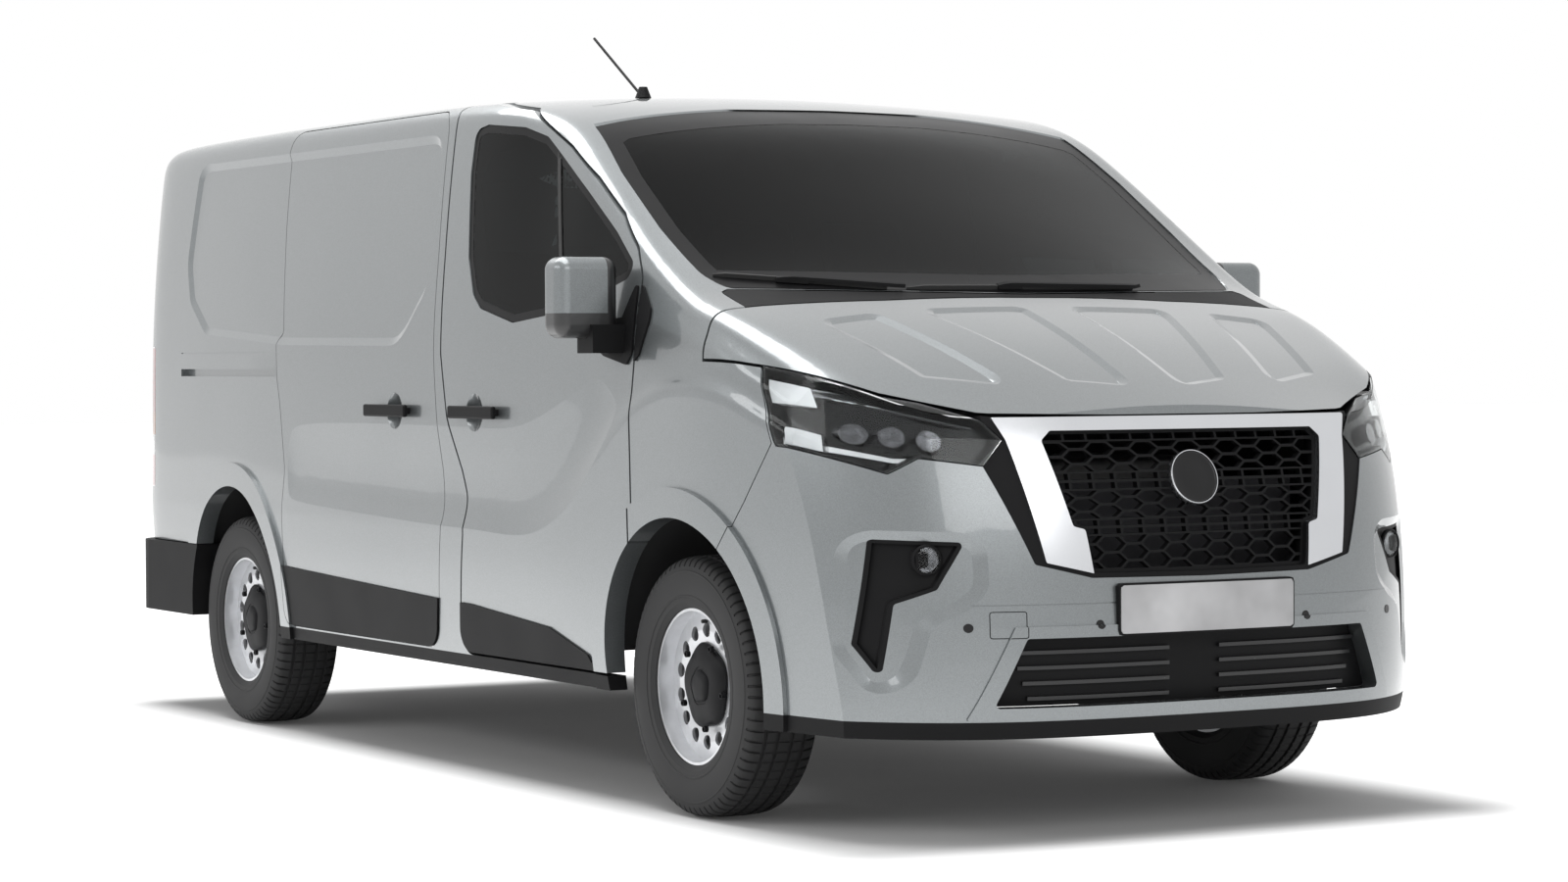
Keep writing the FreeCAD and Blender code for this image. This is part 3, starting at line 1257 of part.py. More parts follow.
def exhaust():
    """Pipe from the engine to the tail with its silencer, under the floor in the middle."""
    top = S.floor_height - S.floor_thickness
    z = top - S.silencer_radius
    x = -S.rail_offset / 3
    start, end = FRONT_AXLE_Y + WELL_RADIUS, REAR_AXLE_Y - S.tyre_radius * 2
    pipe = cylinder_between(S.pipe_radius, Vector(x, start, z), Vector(x, end, z))
    near, far = (end - S.tank_length * share for share in SILENCER_SHARES)
    silencer = cylinder_between(S.silencer_radius, Vector(x, near, z), Vector(x, far, z))
    silencer = silencer.makeFillet(S.pipe_radius, silencer.Edges)
    return pipe.fuse(silencer)


SILENCER_SHARES = (1.2, 0.3)


def nose_layer(shares, out, into, growth=0, corner=LAYER_CORNER_SHARE):
    """A front outline as a plate between two depths behind the nose skin."""
    block = front_block(shares, growth, corner_share=corner)
    ahead = box((-WIDE, WIDE), (NOSE_Y - S.overrun, FRONT_AXLE_Y - WELL_RADIUS), (0, S.body_height))
    block = block.common(ahead)
    return nose_block(out).common(block).cut(nose_block(into))


def grille_pieces():
    """Surround, black frame and mesh of the nose."""
    back = nose_layer(
        SURROUND_FRAME_SHARES, S.cladding_seat, S.grille_depth, -S.seat_clearance, FRONT_CORNER_SHARE)
    hole = front_block(GRILLE_SHARES)
    open_foot = front_block(GRILLE_SHARES[:-2] + SURROUND_FOOT_SHARES)
    ring = nose_layer(SURROUND_SHARES, -S.cladding_seat, S.bar_height * 2)
    surround = ring.cut(open_foot)
    back = back.cut([hole, surround, bonnet_block(S.bonnet_gap)] + both(headlamp_block(S.panel_gap)))
    return surround, back, grille_mesh()


def grille_mesh():
    """One plate with bands of honeycomb cells between bands of slots."""
    outline = resized(rounded_face(front_points(GRILLE_SHARES), S.bar_height, on_front), -S.seat_clearance)
    faces = []
    for foot, head, honeycomb in GRILLE_BAND_SHARES:
        low, high = foot * S.body_height, head * S.body_height
        faces += honeycomb_band(low, high) if honeycomb else slot_band(low, high)
    openings = resized(outline, -S.bar_height).common(Part.makeCompound(faces))
    plate = through_front(outline.cut(openings), NOSE_Y, FRONT_AXLE_Y - WELL_RADIUS)
    layer = nose_block(S.grille_setback).cut(nose_block(S.grille_setback + S.mesh_thickness))
    return one_solid(plate.common(layer))


def front_polygon(points):
    corners = [on_front(Vector(*point)) for point in points]
    return Part.Face(Part.makePolygon(corners + corners[:1]))


def honeycomb_band(low, high):
    """Long hexagons in two rows, every second column half a cell lower."""
    step, tall = S.cell_pitch / 2, (high - low) / CELL_ROWS
    half = S.cell_pitch / 3 - S.web_width / 2
    flat = half / 2
    rise = (tall - S.web_width) / 2
    columns = math.ceil(HALF_WIDTH * GRILLE_SHARES[2][0] / step)
    cells = []
    for column in range(-columns, columns + 1):
        x, odd = column * step, column % 2
        for row in range(CELL_ROWS + odd):
            z = low + tall * (row + (1 - odd) / 2)
            top = z if row == CELL_ROWS else z + rise
            foot = z if odd and row == 0 else z - rise
            points = [(x - half, z), (x - flat, top), (x + flat, top), (x + half, z)]
            points += [(x + flat, foot), (x - flat, foot)]
            if top == z:
                points = [points[0], points[3], points[4], points[5]]
            elif foot == z:
                points = points[:4]
            cells.append(front_polygon(points))
    return cells


def slot_band(low, high):
    """Rows of flat slots with upright webs between."""
    step, half = S.cell_pitch / 2, (S.cell_pitch / 2 - S.web_width) / 2
    rows = round((high - low) / S.slot_pitch)
    tall = (high - low) / rows
    rise = (tall - S.web_width) / 2
    columns = math.ceil(HALF_WIDTH * GRILLE_SHARES[2][0] / step)
    slots = []
    for column in range(-columns, columns + 1):
        x = column * step
        for row in range(rows):
            foot = low + tall * row + S.web_width / 2
            head = foot + rise * 2
            corners = [(x - half, foot), (x - half, head), (x + half, head), (x + half, foot)]
            slots.append(front_polygon(corners))
    return slots


CELL_ROWS = 2
SLAT_COUNT = 4
BLOCK_SHARE = 0.085


def lower_grille():
    """Slats of the lower intake with the closed block in their middle."""
    plate = nose_layer(INTAKE_SHARES, S.grille_depth - S.bar_height, S.grille_depth, -S.bore_clearance)
    layer = nose_layer(INTAKE_SHARES, S.bar_height * 2, S.grille_depth, -S.bore_clearance)
    low, high = INTAKE_SHARES[-1][1] * S.body_height, INTAKE_SHARES[0][1] * S.body_height
    bars = []
    for i in range(1, SLAT_COUNT):
        z = low + (high - low) * i / SLAT_COUNT
        bars.append(box((-HALF_WIDTH, HALF_WIDTH), (NOSE_Y, FRONT_AXLE_Y - WELL_RADIUS),
                        (z - S.bar_height / 2, z + S.bar_height / 2)))
    block = BLOCK_SHARE * HALF_WIDTH
    bars.append(box((-block, block), (NOSE_Y, FRONT_AXLE_Y), (low, high)))
    return one_solid(layer.common(Part.makeCompound(bars)).fuse(plate))


def bumper_openings(growth):
    """Everything that passes through the front bumper."""
    fog = [(-a, b) for a, b in FOG_SHARES]
    fog = front_block(fog, growth, False)
    return [front_block(SURROUND_FRAME_SHARES, growth), front_block(INTAKE_SHARES, growth)] + both(fog)


def fog_lamps():
    """L-shaped pods in the hollows of the corners, each with its lamp."""
    fog = [(-a, b) for a, b in FOG_SHARES]
    pod = BODY.solid.common(front_block(fog, -S.seat_clearance, False)).cut(skin(S.wall_thickness))
    tray = front_block(fog, -S.pod_wall, False).cut(nose_block(S.pod_depth))
    x, z = -FOG_PLACE_SHARES[0] * HALF_WIDTH, FOG_PLACE_SHARES[1] * S.body_height
    start = nose_met(Vector(x, 0, z)).y + S.hollow_depth
    side, high = S.fog_radius * 2, S.fog_radius * FOG_HEIGHT_SHARE
    lamp = box((x - side / 2, x + side / 2), (start, start + S.pod_depth), (z - high / 2, z + high / 2))
    lamp = lamp.makeFillet(S.bar_height, lamp.Edges)
    return Part.makeCompound(both(one_solid(one_solid(pod).cut(tray).fuse(lamp))))


FOG_HEIGHT_SHARE = 1.5


def bumper_seam():
    """The seam between the bumper's upper and lower skins, from one fog lamp to the other."""
    across, height = BUMPER_SEAM_SHARES
    x, z = across * HALF_WIDTH, height * S.body_height
    line = box((-x, x), (NOSE_Y - S.overrun, FRONT_AXLE_Y), (z, z + S.panel_gap))
    return line.cut(nose_block(S.seam_depth))


BUMPER_SEAM_SHARES = (0.77, 0.298)


def intake_bezel():
    """Painted frame that stands round the lower intake."""
    return nose_layer(INTAKE_BEZEL_SHARES, -S.bezel_proud, S.cladding_seat)


def headlamps(blank):
    """Black housing, clear lens, projectors and light guides of the right headlamp."""
    seat = skin(S.lens_thickness + S.seat_clearance)
    lens = one_solid(blank.cut(skin(S.lens_thickness)))
    inside = headlamp_block(-S.lamp_wall).cut(skin(S.wall_thickness - S.lamp_wall))
    housing = one_solid(blank.common(seat).cut(inside))
    filling = inside.common(skin(S.guide_depth))
    shafts = []
    for across, height in PROJECTOR_SHARES:
        x, z = -across * HALF_WIDTH, height * S.body_height
        shafts.append(cylinder_between(S.projector_radius, Vector(x, NOSE_Y, z), Vector(x, FRONT_AXLE_Y, z)))
    guides = []
    for shares, rear in zip(LIGHT_GUIDE_SHARES, LIGHT_GUIDE_REAR_SHARES):
        face = front_polygon([(-a * HALF_WIDTH, b * S.body_height) for a, b in shares])
        guides.append(through_front(face, NOSE_Y, rear * HALF_LENGTH))
    lights = [one_solid(filling.common(shaft)) for shaft in shafts]
    bars = [one_solid(filling.common(guide)) for guide in guides]
    return {"headlamps": [housing], "headlamp_lenses": [lens], "projectors": lights, "light_guides": bars}


def radiator():
    """Cooling pack held between the front ends of the rails."""
    half = S.rail_offset - S.rail_width / 2 - S.seat_clearance
    low = S.floor_height - S.floor_thickness - S.rail_height - S.radiator_thickness
    depth = (RAIL_FRONT_Y, RAIL_FRONT_Y + S.radiator_thickness)
    pack = box((-half, half), depth, (low, low + S.radiator_height))
    return pack.makeFillet(S.bar_height, pack.Edges)


def rail_slot():
    """The sliding door's rail slot on the right side, and the groove over its cover."""
    start, end, height = RAIL_COVER_SHARES
    y, z = (start * HALF_LENGTH, end * HALF_LENGTH), height * S.body_height
    slot = box((-WIDE, -DOOR_INNER), y, (z, z + S.slot_height)).cut(skin(S.slot_depth))
    top = z + S.slot_height + S.rail_cover_height
    groove = box((-WIDE, -DOOR_INNER), y, (top, top + S.panel_gap)).cut(skin(S.panel_gap))
    return [slot, groove]


def rear_bumper():
    """The rear bumper with its wrapped corners."""
    outer_x, start = HALF_WIDTH * BUMPER_WIDTH_SHARE, REAR_AXLE_Y
    end = TAIL_Y
    low, top = S.skirt_height + S.rail_height / 3, REAR_BUMPER_TOP
    outer = rounded_face([(-outer_x, start), (-outer_x, end), (outer_x, end), (outer_x, start)],
                         S.bumper_depth * BUMPER_CORNER_SHARE, on_top)
    depth = S.bumper_depth
    inner = rounded_face([(-outer_x + depth, start - depth), (-outer_x + depth, end - depth),
                          (outer_x - depth, end - depth), (outer_x - depth, start - depth)],
                         S.bumper_depth, on_top)
    return outer.cut(inner).extrude(Vector(0, 0, top - low)).translated(Vector(0, 0, low))


BUMPER_WIDTH_SHARE = 0.972
BUMPER_CORNER_SHARE = 1.6


ANTENNA_SHARES = (-0.38, -0.10)
ANTENNA_LEAN_DEGREES = 58
ANTENNA_FOOT_SHARES = (6, 3, 8)
ANTENNA_RIM_PLACES = 8


def roof_height(x, y):
    """The height of the body's highest point over a place."""
    upright = Part.makeLine(Vector(x, y, S.floor_height), Vector(x, y, 2 * S.body_height))
    return max(vertex.Point.z for vertex in BODY.solid.common(upright).Vertexes)


def antenna():
    """A whip that leans back from a cone, which stands on the roof."""
    across, along = ANTENNA_SHARES
    x, y = across * HALF_WIDTH, along * HALF_LENGTH
    radius = S.antenna_radius
    wide, narrow, high = (radius * share for share in ANTENNA_FOOT_SHARES)
    turns = [2 * math.pi * i / ANTENNA_RIM_PLACES for i in range(ANTENNA_RIM_PLACES)]
    roof = max(roof_height(x + wide * math.cos(turn), y + wide * math.sin(turn)) for turn in turns)
    foot = Vector(x, y, roof + S.seat_clearance)
    lean = math.radians(ANTENNA_LEAN_DEGREES)
    line = Vector(0, math.sin(lean), math.cos(lean))
    whip = cylinder_between(radius, foot + line * (2 * radius), foot + line * S.antenna_length)
    return Part.makeCone(wide, narrow, high, foot).fuse(whip)


def turned_body(label, points):
    """A body turned about the X axis from a profile of (across, radius) sizes."""
    body = doc.addObject("PartDesign::Body", label)
    body.Label = label
    sketch = body.newObject("Sketcher::SketchObject", label + "_profile")
    plane = next(f for f in body.Origin.OriginFeatures if f.Role == "XY_Plane")
    sketch.AttachmentSupport = [(plane, "")]
    sketch.MapMode = "FlatFace"
    count = len(points)
    for i, (across, radius) in enumerate(points):
        nxt = points[(i + 1) % count]
        sketch.addGeometry(Part.LineSegment(Vector(across, radius, 0), Vector(nxt[0], nxt[1], 0)))
    for i in range(count):
        sketch.addConstraint(Sketcher.Constraint("Coincident", i, 2, (i + 1) % count, 1))
    for i, (across, radius) in enumerate(points):
        for kind, value in (("DistanceX", across), ("DistanceY", radius)):
            index = sketch.addConstraint(Sketcher.Constraint(kind, -1, 1, i, 1, float(value)))
            if isinstance(value, Length):
                sketch.setExpression("Constraints[%d]" % index, value.text)
    turn = body.newObject("PartDesign::Revolution", label + "_turn")
    turn.Profile = sketch
    turn.ReferenceAxis = (sketch, ["H_Axis"])
    turn.Angle = 360
    sketch.Visibility = False
    return body


# The tyre's side from bead to tread: shares of the bead's inset, and of the section height.
TYRE_SHARES = ((1, 0), (1 / 3, 0.25), (0, 0.5), (1 / 3, 0.78), (1, 0.93), (2, 1))
# The barrel's outside and inside, as shares of the rim width: seat, slope, well and seat again.
BARREL_SHARES = (0, 0.16, 0.24, 0.62, 0.70, 1)
BARREL_INSIDE_SHARES = (0.75, 0.22, 0.15)
DISC_SHARES = (1.2, 1.5, 1.4)


def tyre_profile():
    """A whole tyre section: one side from bead to tread, and its mirror image."""
    width, inner = S.tyre_width, S.rim_radius
    wall = S.tyre_radius - inner
    bead = (width - S.rim_width) / 2
    left = [(bead * across, inner + wall * up) for across, up in TYRE_SHARES]
    right = [(width - across, radius) for across, radius in left[::-1]]
    return left + right


def rim_profile():
    """Barrel with its flanges and the wheel disc, one closed line."""
    width, seat, sheet_w = S.rim_width, S.rim_radius, S.rim_sheet
    face = width / 2 + S.disc_offset
    drop = seat - S.rim_flange
    hub, bore, vents = S.hub_radius, S.bore_radius, S.vent_circle
    back, slope, well, well_end, lift, front = (width * share for share in BARREL_SHARES)
    inner_end, inner_slope, inner_back = (width * share for share in BARREL_INSIDE_SHARES)
    shoulder, dish, dish_back = DISC_SHARES
    return [
        (back, seat), (slope, seat), (well, drop), (well_end, drop), (lift, seat), (front, seat),
        (front, seat - sheet_w), (inner_end, seat - sheet_w),
        (face - sheet_w / 2, vents + S.vent_radius * shoulder), (face, vents),
        (face - sheet_w, hub * dish), (face + sheet_w * 2, hub), (face + sheet_w * 2, bore),
        (face + sheet_w, bore), (face + sheet_w, hub - sheet_w), (face - sheet_w * 2, hub * dish_back),
        (face - sheet_w, vents), (face - sheet_w * 2, vents + S.vent_radius),
        (well_end, drop - sheet_w), (inner_slope, drop - sheet_w), (inner_back, seat - sheet_w),
        (back, seat - sheet_w),
    ]


def vent_holes(body, label):
    """Round vents through the wheel disc."""
    sketch = body.newObject("Sketcher::SketchObject", label + "_vent")
    plane = next(f for f in body.Origin.OriginFeatures if f.Role == "YZ_Plane")
    sketch.AttachmentSupport = [(plane, "")]
    sketch.MapMode = "FlatFace"
    centre = Vector(0, S.vent_circle, 0)
    sketch.addGeometry(Part.Circle(centre, Vector(0, 0, 1), float(S.vent_radius)))
    sketch.addConstraint(Sketcher.Constraint("PointOnObject", 0, 3, -2))
    at = sketch.addConstraint(Sketcher.Constraint("DistanceY", -1, 1, 0, 3, float(S.vent_circle)))
    sketch.setExpression("Constraints[%d]" % at, S.vent_circle.text)
    size = sketch.addConstraint(Sketcher.Constraint("Radius", 0, float(S.vent_radius)))
    sketch.setExpression("Constraints[%d]" % size, S.vent_radius.text)
    doc.recompute()
    pocket = body.newObject("PartDesign::Pocket", label + "_hole")
    pocket.Profile = sketch
    pocket.Type = "ThroughAll"
    pocket.Midplane = True
    ring = body.newObject("PartDesign::PolarPattern", label + "_holes")
    ring.Originals = [pocket]
    ring.Axis = (sketch, ["N_Axis"])
    ring.Angle = 360
    ring.Occurrences = int(S.vent_count)
    ring.setExpression("Occurrences", S.vent_count.text)
    body.Tip = ring
    sketch.Visibility = False


def place_wheel(body, track, axle_y, side, width):
    """Put a turned piece at its wheel: side is -1 on the right and 1 on the left."""
    centre = track / 2
    start = centre - width / 2
    turn = Rotation() if side > 0 else Rotation(Vector(0, 0, 1), 180)
    body.Placement = Placement(Vector(side * start, axle_y, S.tyre_radius), turn)
    text = start.text if side > 0 else "(0 - %s)" % start.text
    body.setExpression("Placement.Base.x", text)
    body.setExpression("Placement.Base.y", axle_y.text)
    body.setExpression("Placement.Base.z", S.tyre_radius.text)


def make_wheels():
    corners = (("front", S.front_track, FRONT_AXLE_Y), ("rear", S.rear_track, REAR_AXLE_Y))
    for end, track, axle_y in corners:
        for name, side in (("right", -1), ("left", 1)):
            rim = turned_body("rim_%s_%s" % (end, name), rim_profile())
            doc.recompute()
            vent_holes(rim, "rim_%s_%s" % (end, name))
            place_wheel(rim, track, axle_y, side, S.rim_width)
            tyre = turned_body("tyre_%s_%s" % (end, name), tyre_profile())
            place_wheel(tyre, track, axle_y, side, S.tyre_width)
            PIECES.extend([rim, tyre])


def make_doors(panels):
    """Front doors with pane, trim and mirror; the left ones are mirror images."""
    window = side_block(DOOR_WINDOW_SHARES, WINDOW_CORNER_SHARE)
    hole = side_block(DOOR_WINDOW_SHARES, WINDOW_CORNER_SHARE, -S.glass_land)
    divider = rounded_face(side_points(DIVIDER_SHARES), S.panel_gap, on_side)
    hole = hole.cut(through_side(divider, 0, WIDE))
    door = glazed(panels["door"], BODY, window, hole)
    door_space = side_block(FRONT_DOOR_SHARES, DOOR_CORNER_SHARE)
    layer = skin(-S.cladding_proud).cut(skin(S.cladding_seat))
    panels["cladding_layer"] = layer
    black = cladding(layer).common(door_space).cut(arch_lips())
    door = door.cut([cladding(layer), cup_tool("front_door")])
    glass = pane(BODY, side_block(DOOR_WINDOW_SHARES, WINDOW_CORNER_SHARE, -S.bore_clearance))
    head, arm = mirror_head()
    trim = Part.makeCompound([one_solid(black), handle("front_door").cut(door), arm.cut([door, head])])
    shapes = {"front_door": one_solid(door), "door_glass": glass, "door_trim": trim, "mirror": head}
    for name, shape in shapes.items():
        piece(name + "_right", shape)
        piece(name + "_left", mirrored(shape))


BODY = make_body()
PANELS = make_shell_panels(BODY)
make_doors(PANELS)
LAYER = PANELS["cladding_layer"]
SLIDER_SPACE = side_block(SLIDING_DOOR_SHARES, DOOR_CORNER_SHARE)
SIDE_BLACK = cladding(LAYER)
SLIDER = PANELS["sliding_door"].cut([SIDE_BLACK, cup_tool("sliding_door")])
piece("sliding_door", one_solid(SLIDER))
piece("sliding_door_trim", Part.makeCompound(
    [one_solid(SIDE_BLACK.common(SLIDER_SPACE)), handle("sliding_door").cut(SLIDER)]))
LEFT_BLACK = mirrored(one_solid(SIDE_BLACK.common(SLIDER_SPACE)))
piece("body_shell", one_solid(PANELS["body_shell"].cut(LEFT_BLACK)))
piece("side_trim_left", LEFT_BLACK)
for panel in ("sills", "tail_lamps", "bonnet", "front_lip", "front_fenders", "cowl", "windscreen"):
    piece(panel, PANELS[panel])
for name, solids in headlamps(PANELS["lamp"]).items():
    piece(name, Part.makeCompound(solids + [mirrored(solid) for solid in solids]))
piece("rear_door_right", PANELS["rear_door_right"])
piece("rear_door_left", mirrored(PANELS["rear_door_right"]))
BUMPER = PANELS["bumper"].fuse(intake_bezel())
piece("front_bumper", one_solid(BUMPER.cut(bumper_openings(0) + [bumper_seam()])))
SURROUND, FRAME, MESH = grille_pieces()
piece("grille_surround", one_solid(SURROUND))
piece("grille_frame", one_solid(FRAME))
piece("grille_mesh", MESH)
piece("radiator", radiator())
piece("lower_grille", lower_grille())
piece("fog_lamps", fog_lamps())
piece("underbody", underbody(BODY))
piece("bulkhead", bulkhead(BODY))
piece("seats", seats())
piece("dashboard", column(dashboard(BODY)))
piece("steering_wheel", steering_wheel())
piece("engine", engine())
piece("front_subframe", subframe())
piece("knuckle_right", knuckle())
piece("knuckle_left", mirrored(knuckle()))
piece("rear_axle", rear_axle())
piece("fuel_tank", fuel_tank())
piece("exhaust", exhaust())
piece("rear_bumper", one_solid(rear_bumper().cut(arch_lips())))
piece("roof_antenna", antenna())
make_wheels()

doc.recompute()
for item in doc.Objects:
    if "Invalid" in item.State or "Error" in item.State:
        raise RuntimeError("failed object: " + item.Name)
for item in PIECES:
    if item.Shape.isNull() or not item.Shape.isValid():
        raise RuntimeError("bad shape: " + item.Label)
for item in PIECES:
    item.Shape.exportStep("parts/%s.step" % item.Label)
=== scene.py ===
import math

import bmesh
import bpy
from mathutils import Matrix, Vector
from mathutils.bvhtree import BVHTree
from mathutils.geometry import convex_hull_2d


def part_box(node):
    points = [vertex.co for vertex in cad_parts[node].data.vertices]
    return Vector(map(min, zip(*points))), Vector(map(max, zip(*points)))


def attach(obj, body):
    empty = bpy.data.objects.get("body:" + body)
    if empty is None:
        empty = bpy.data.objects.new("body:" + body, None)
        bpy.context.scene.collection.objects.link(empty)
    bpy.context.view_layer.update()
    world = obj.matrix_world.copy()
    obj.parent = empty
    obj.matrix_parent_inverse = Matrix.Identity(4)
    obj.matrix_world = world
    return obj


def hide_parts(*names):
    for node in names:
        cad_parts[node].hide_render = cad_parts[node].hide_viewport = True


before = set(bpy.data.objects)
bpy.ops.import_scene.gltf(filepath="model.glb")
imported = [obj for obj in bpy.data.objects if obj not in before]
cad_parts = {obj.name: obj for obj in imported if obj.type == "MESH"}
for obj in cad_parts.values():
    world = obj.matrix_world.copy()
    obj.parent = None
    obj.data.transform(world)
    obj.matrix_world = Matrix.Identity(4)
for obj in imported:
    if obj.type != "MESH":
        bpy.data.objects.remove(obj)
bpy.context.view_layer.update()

MM = 0.001

# Camera, worked out from the wheels, the arches and the lamps of the photograph
CAMERA_PLACE = Vector((-5.5586, -10.2322, 1.1863))
CAMERA_AZIMUTH = -0.5156
CAMERA_ELEVATION = 0.0215
CAMERA_ROLL = -0.0058
CAMERA_LENS = 87.815
SENSOR_WIDTH = 36.0

# Studio: lamps as place, size and power, and the floor's fade to white round the van
FLOOR_REACH = 60.0
FLOOR_SQUARES = 8
FLOOR_DROP = 0.0005
WORLD_LEVEL = 0.40
LAMPS = {
    "overhead": ((-1.2, 0.2, 4.6), (2.4, 7.5), 250.0),
    "front": ((-1.5, -8.5, 3.8), (6.0, 2.4), 115.0),
    "side": ((-8.0, 0.5, 4.2), (8.0, 1.6), 120.0),
}
AIM = Vector((0.0, 0.0, 0.9))
FOOTPRINT = (0.85, 2.35)
FADE = (0.0, 0.42)
FLOOR_NEAR = 0.03
FLOOR_WHITE = 1.0

# Colours, linear
PAINT = (0.215, 0.232, 0.238)
PAINT_DEEP = (0.160, 0.173, 0.178)
PROJECTOR_GREY = (0.10, 0.10, 0.11)
BLACK_PLASTIC = (0.007, 0.007, 0.0075)
GREY_PLASTIC = (0.035, 0.036, 0.038)
RUBBER = (0.011, 0.011, 0.011)
SILVER = (0.66, 0.67, 0.69)
CHROME = (0.60, 0.61, 0.63)
COATING = (0.022, 0.022, 0.023)
CAST = (0.14, 0.14, 0.14)
STEEL = (0.33, 0.32, 0.31)
CLOTH = (0.016, 0.016, 0.019)
RED_LENS = (0.33, 0.006, 0.008)
TINT = (0.055, 0.065, 0.065)
WINDSCREEN_TINT = (0.065, 0.075, 0.078)
CAP_BLACK = (0.009, 0.009, 0.010)
TYRE_BLACK = (0.014, 0.014, 0.0145)
PLATE_GREY = (0.62, 0.62, 0.63)
MIRROR_SILVER = (0.80, 0.82, 0.84)
FIN_GREY = (0.10, 0.10, 0.11)
GUIDE_WHITE = (0.75, 0.76, 0.78)
AMBER_LENS = (0.45, 0.14, 0.01)
WHITE_LENS = (0.62, 0.62, 0.62)
PANEL_GREY = (0.24, 0.25, 0.25)
CLEAR = (0.90, 0.92, 0.92)
FLOOR_GREYS = ((0.69, 0.69, 0.69), (0.71, 0.71, 0.71))
WHITE = (1.0, 1.0, 1.0, 1.0)

# Where finishes change, in metres: the mirror shell's lower edge and inner end, and the tail lamp's bands
MIRROR_SPLIT = 1.309
MIRROR_ARM_END = 0.998
LAMP_TOP = 2.2
TAIL_BANDS = ((0.0, RED_LENS), (0.86, WHITE_LENS), (0.93, AMBER_LENS), (1.01, RED_LENS))
BRAKE_BANDS = ((0.0, RED_LENS), (LAMP_TOP, RED_LENS))

# Patterns: scales, ranges of roughness, shares of a colour from dark to light, and bumps (strength, depth)
FLAKE_SCALE = 900.0
FLAKE_SPAN = (0.15, 0.75)
FLAKE_BUMP = (0.05, 0.0002)
PAINT_CLOUDS = 2.2
PAINT_ROUGHNESS = (0.30, 0.38)
PAINT_METALLIC = 0.72
PAINT_COAT_ROUGHNESS = 0.04
MIRROR_DEEP_SHARE = 0.7
MIRROR_ROUGHNESS = (0.5, 0.34)
MIRROR_COAT = 0.6
MIRROR_COAT_ROUGHNESS = 0.06
PLASTIC_CLOUDS = 5.0
PLASTIC_SHADES = (0.8, 1.25)
PLASTIC_UNEVEN = 0.07
GRAIN_STRENGTH = 0.35
RUBBER_CLOUDS = 9.0
RUBBER_DETAIL = 6.0
RUBBER_SHADES = (0.8, 1.6)
RUBBER_ROUGHNESS = (0.62, 0.85)
RUBBER_GRAIN = 500.0
RUBBER_BUMP = (0.2, 0.0002)
GLASS_CLOUDS = 1.5
GLASS_DARK_SHARE = 0.94
GLASS_ROUGHNESS = (0.0, 0.01)
GLASS_IOR = 1.15
LENS_IOR = 1.20
THREAD_SCALE = 180.0
THREAD_WANDER = 0.6
CLOTH_SHADES = (0.6, 1.5)
CLOTH_BUMP = (0.5, 0.0006)
CLOTH_ROUGHNESS = 0.9
CLOTH_SHEEN = 0.3
PRISM_SCALE = 60.0
PRISM_BUMP = (0.4, 0.0008)
PRISM_ROUGHNESS = (0.06, 0.14)
FIN_SCALE = 160.0
# Share of the fin colour left in the gaps between the radiator's fins, as painted shade
FIN_GAP_SHADE_SHARE = 0.2
FIN_BUMP = (0.8, 0.002)
FIN_ROUGHNESS = (0.6, 0.4)
FIN_METALLIC = 0.6
FLOOR_CLOUDS = 3.0
FLOOR_ROUGHNESS = 0.9
FLOOR_SPECULAR = 0.1


def new_material(name):
    made = bpy.data.materials.new(name)
    made.use_nodes = True
    return made, made.node_tree, made.node_tree.nodes["Principled BSDF"]


def set_sockets(surface, net, values):
    """Joins the shader's sockets to other nodes, or gives them their plain values."""
    for name, value in values.items():
        if isinstance(value, bpy.types.NodeSocket):
            net.links.new(value, surface.inputs[name])
        else:
            surface.inputs[name].default_value = value


def object_place(net):
    return net.nodes.new("ShaderNodeTexCoord").outputs["Object"]


def noise(net, scale, detail=3.0):
    found = net.nodes.new("ShaderNodeTexNoise")
    found.inputs["Scale"].default_value = scale
    found.inputs["Detail"].default_value = detail
    net.links.new(object_place(net), found.inputs["Vector"])
    return found


def cells(net, scale):
    found = net.nodes.new("ShaderNodeTexVoronoi")
    found.inputs["Scale"].default_value = scale
    net.links.new(object_place(net), found.inputs["Vector"])
    return found


def waves(net, scale, direction="X", wander=0.0):
    found = net.nodes.new("ShaderNodeTexWave")
    found.bands_direction = direction
    found.inputs["Scale"].default_value = scale
    found.inputs["Distortion"].default_value = wander
    net.links.new(object_place(net), found.inputs["Vector"])
    return found.outputs["Fac"]


def calculated(net, operation, *values):
    """The result of one sum over sockets and numbers."""
    found = net.nodes.new("ShaderNodeMath")
    found.operation = operation
    for socket, value in zip(found.inputs, values):
        if isinstance(value, float):
            socket.default_value = value
        else:
            net.links.new(value, socket)
    return found.outputs["Value"]


def place_parts(net):
    """The sockets X, Y and Z of a surface point's place."""
    found = net.nodes.new("ShaderNodeSeparateXYZ")
    net.links.new(object_place(net), found.inputs["Vector"])
    return found.outputs


def ramp(net, factor, low, high, start=0.3, end=0.7):
    """A colour that runs from low to high over factor."""
    found = net.nodes.new("ShaderNodeValToRGB")
    found.color_ramp.elements[0].position = start
    found.color_ramp.elements[1].position = end
    found.color_ramp.elements[0].color = (*low, 1.0)
    found.color_ramp.elements[1].color = (*high, 1.0)
    net.links.new(factor, found.inputs["Fac"])
    return found.outputs["Color"]


def map_range(net, value, low, high):
    found = net.nodes.new("ShaderNodeMapRange")
    found.inputs["To Min"].default_value = low
    found.inputs["To Max"].default_value = high
    net.links.new(value, found.inputs["Value"])
    return found.outputs["Result"]


def bump(net, height, strength, distance):
    found = net.nodes.new("ShaderNodeBump")
    found.inputs["Strength"].default_value = strength
    found.inputs["Distance"].default_value = distance
    net.links.new(height, found.inputs["Height"])
    return found.outputs["Normal"]


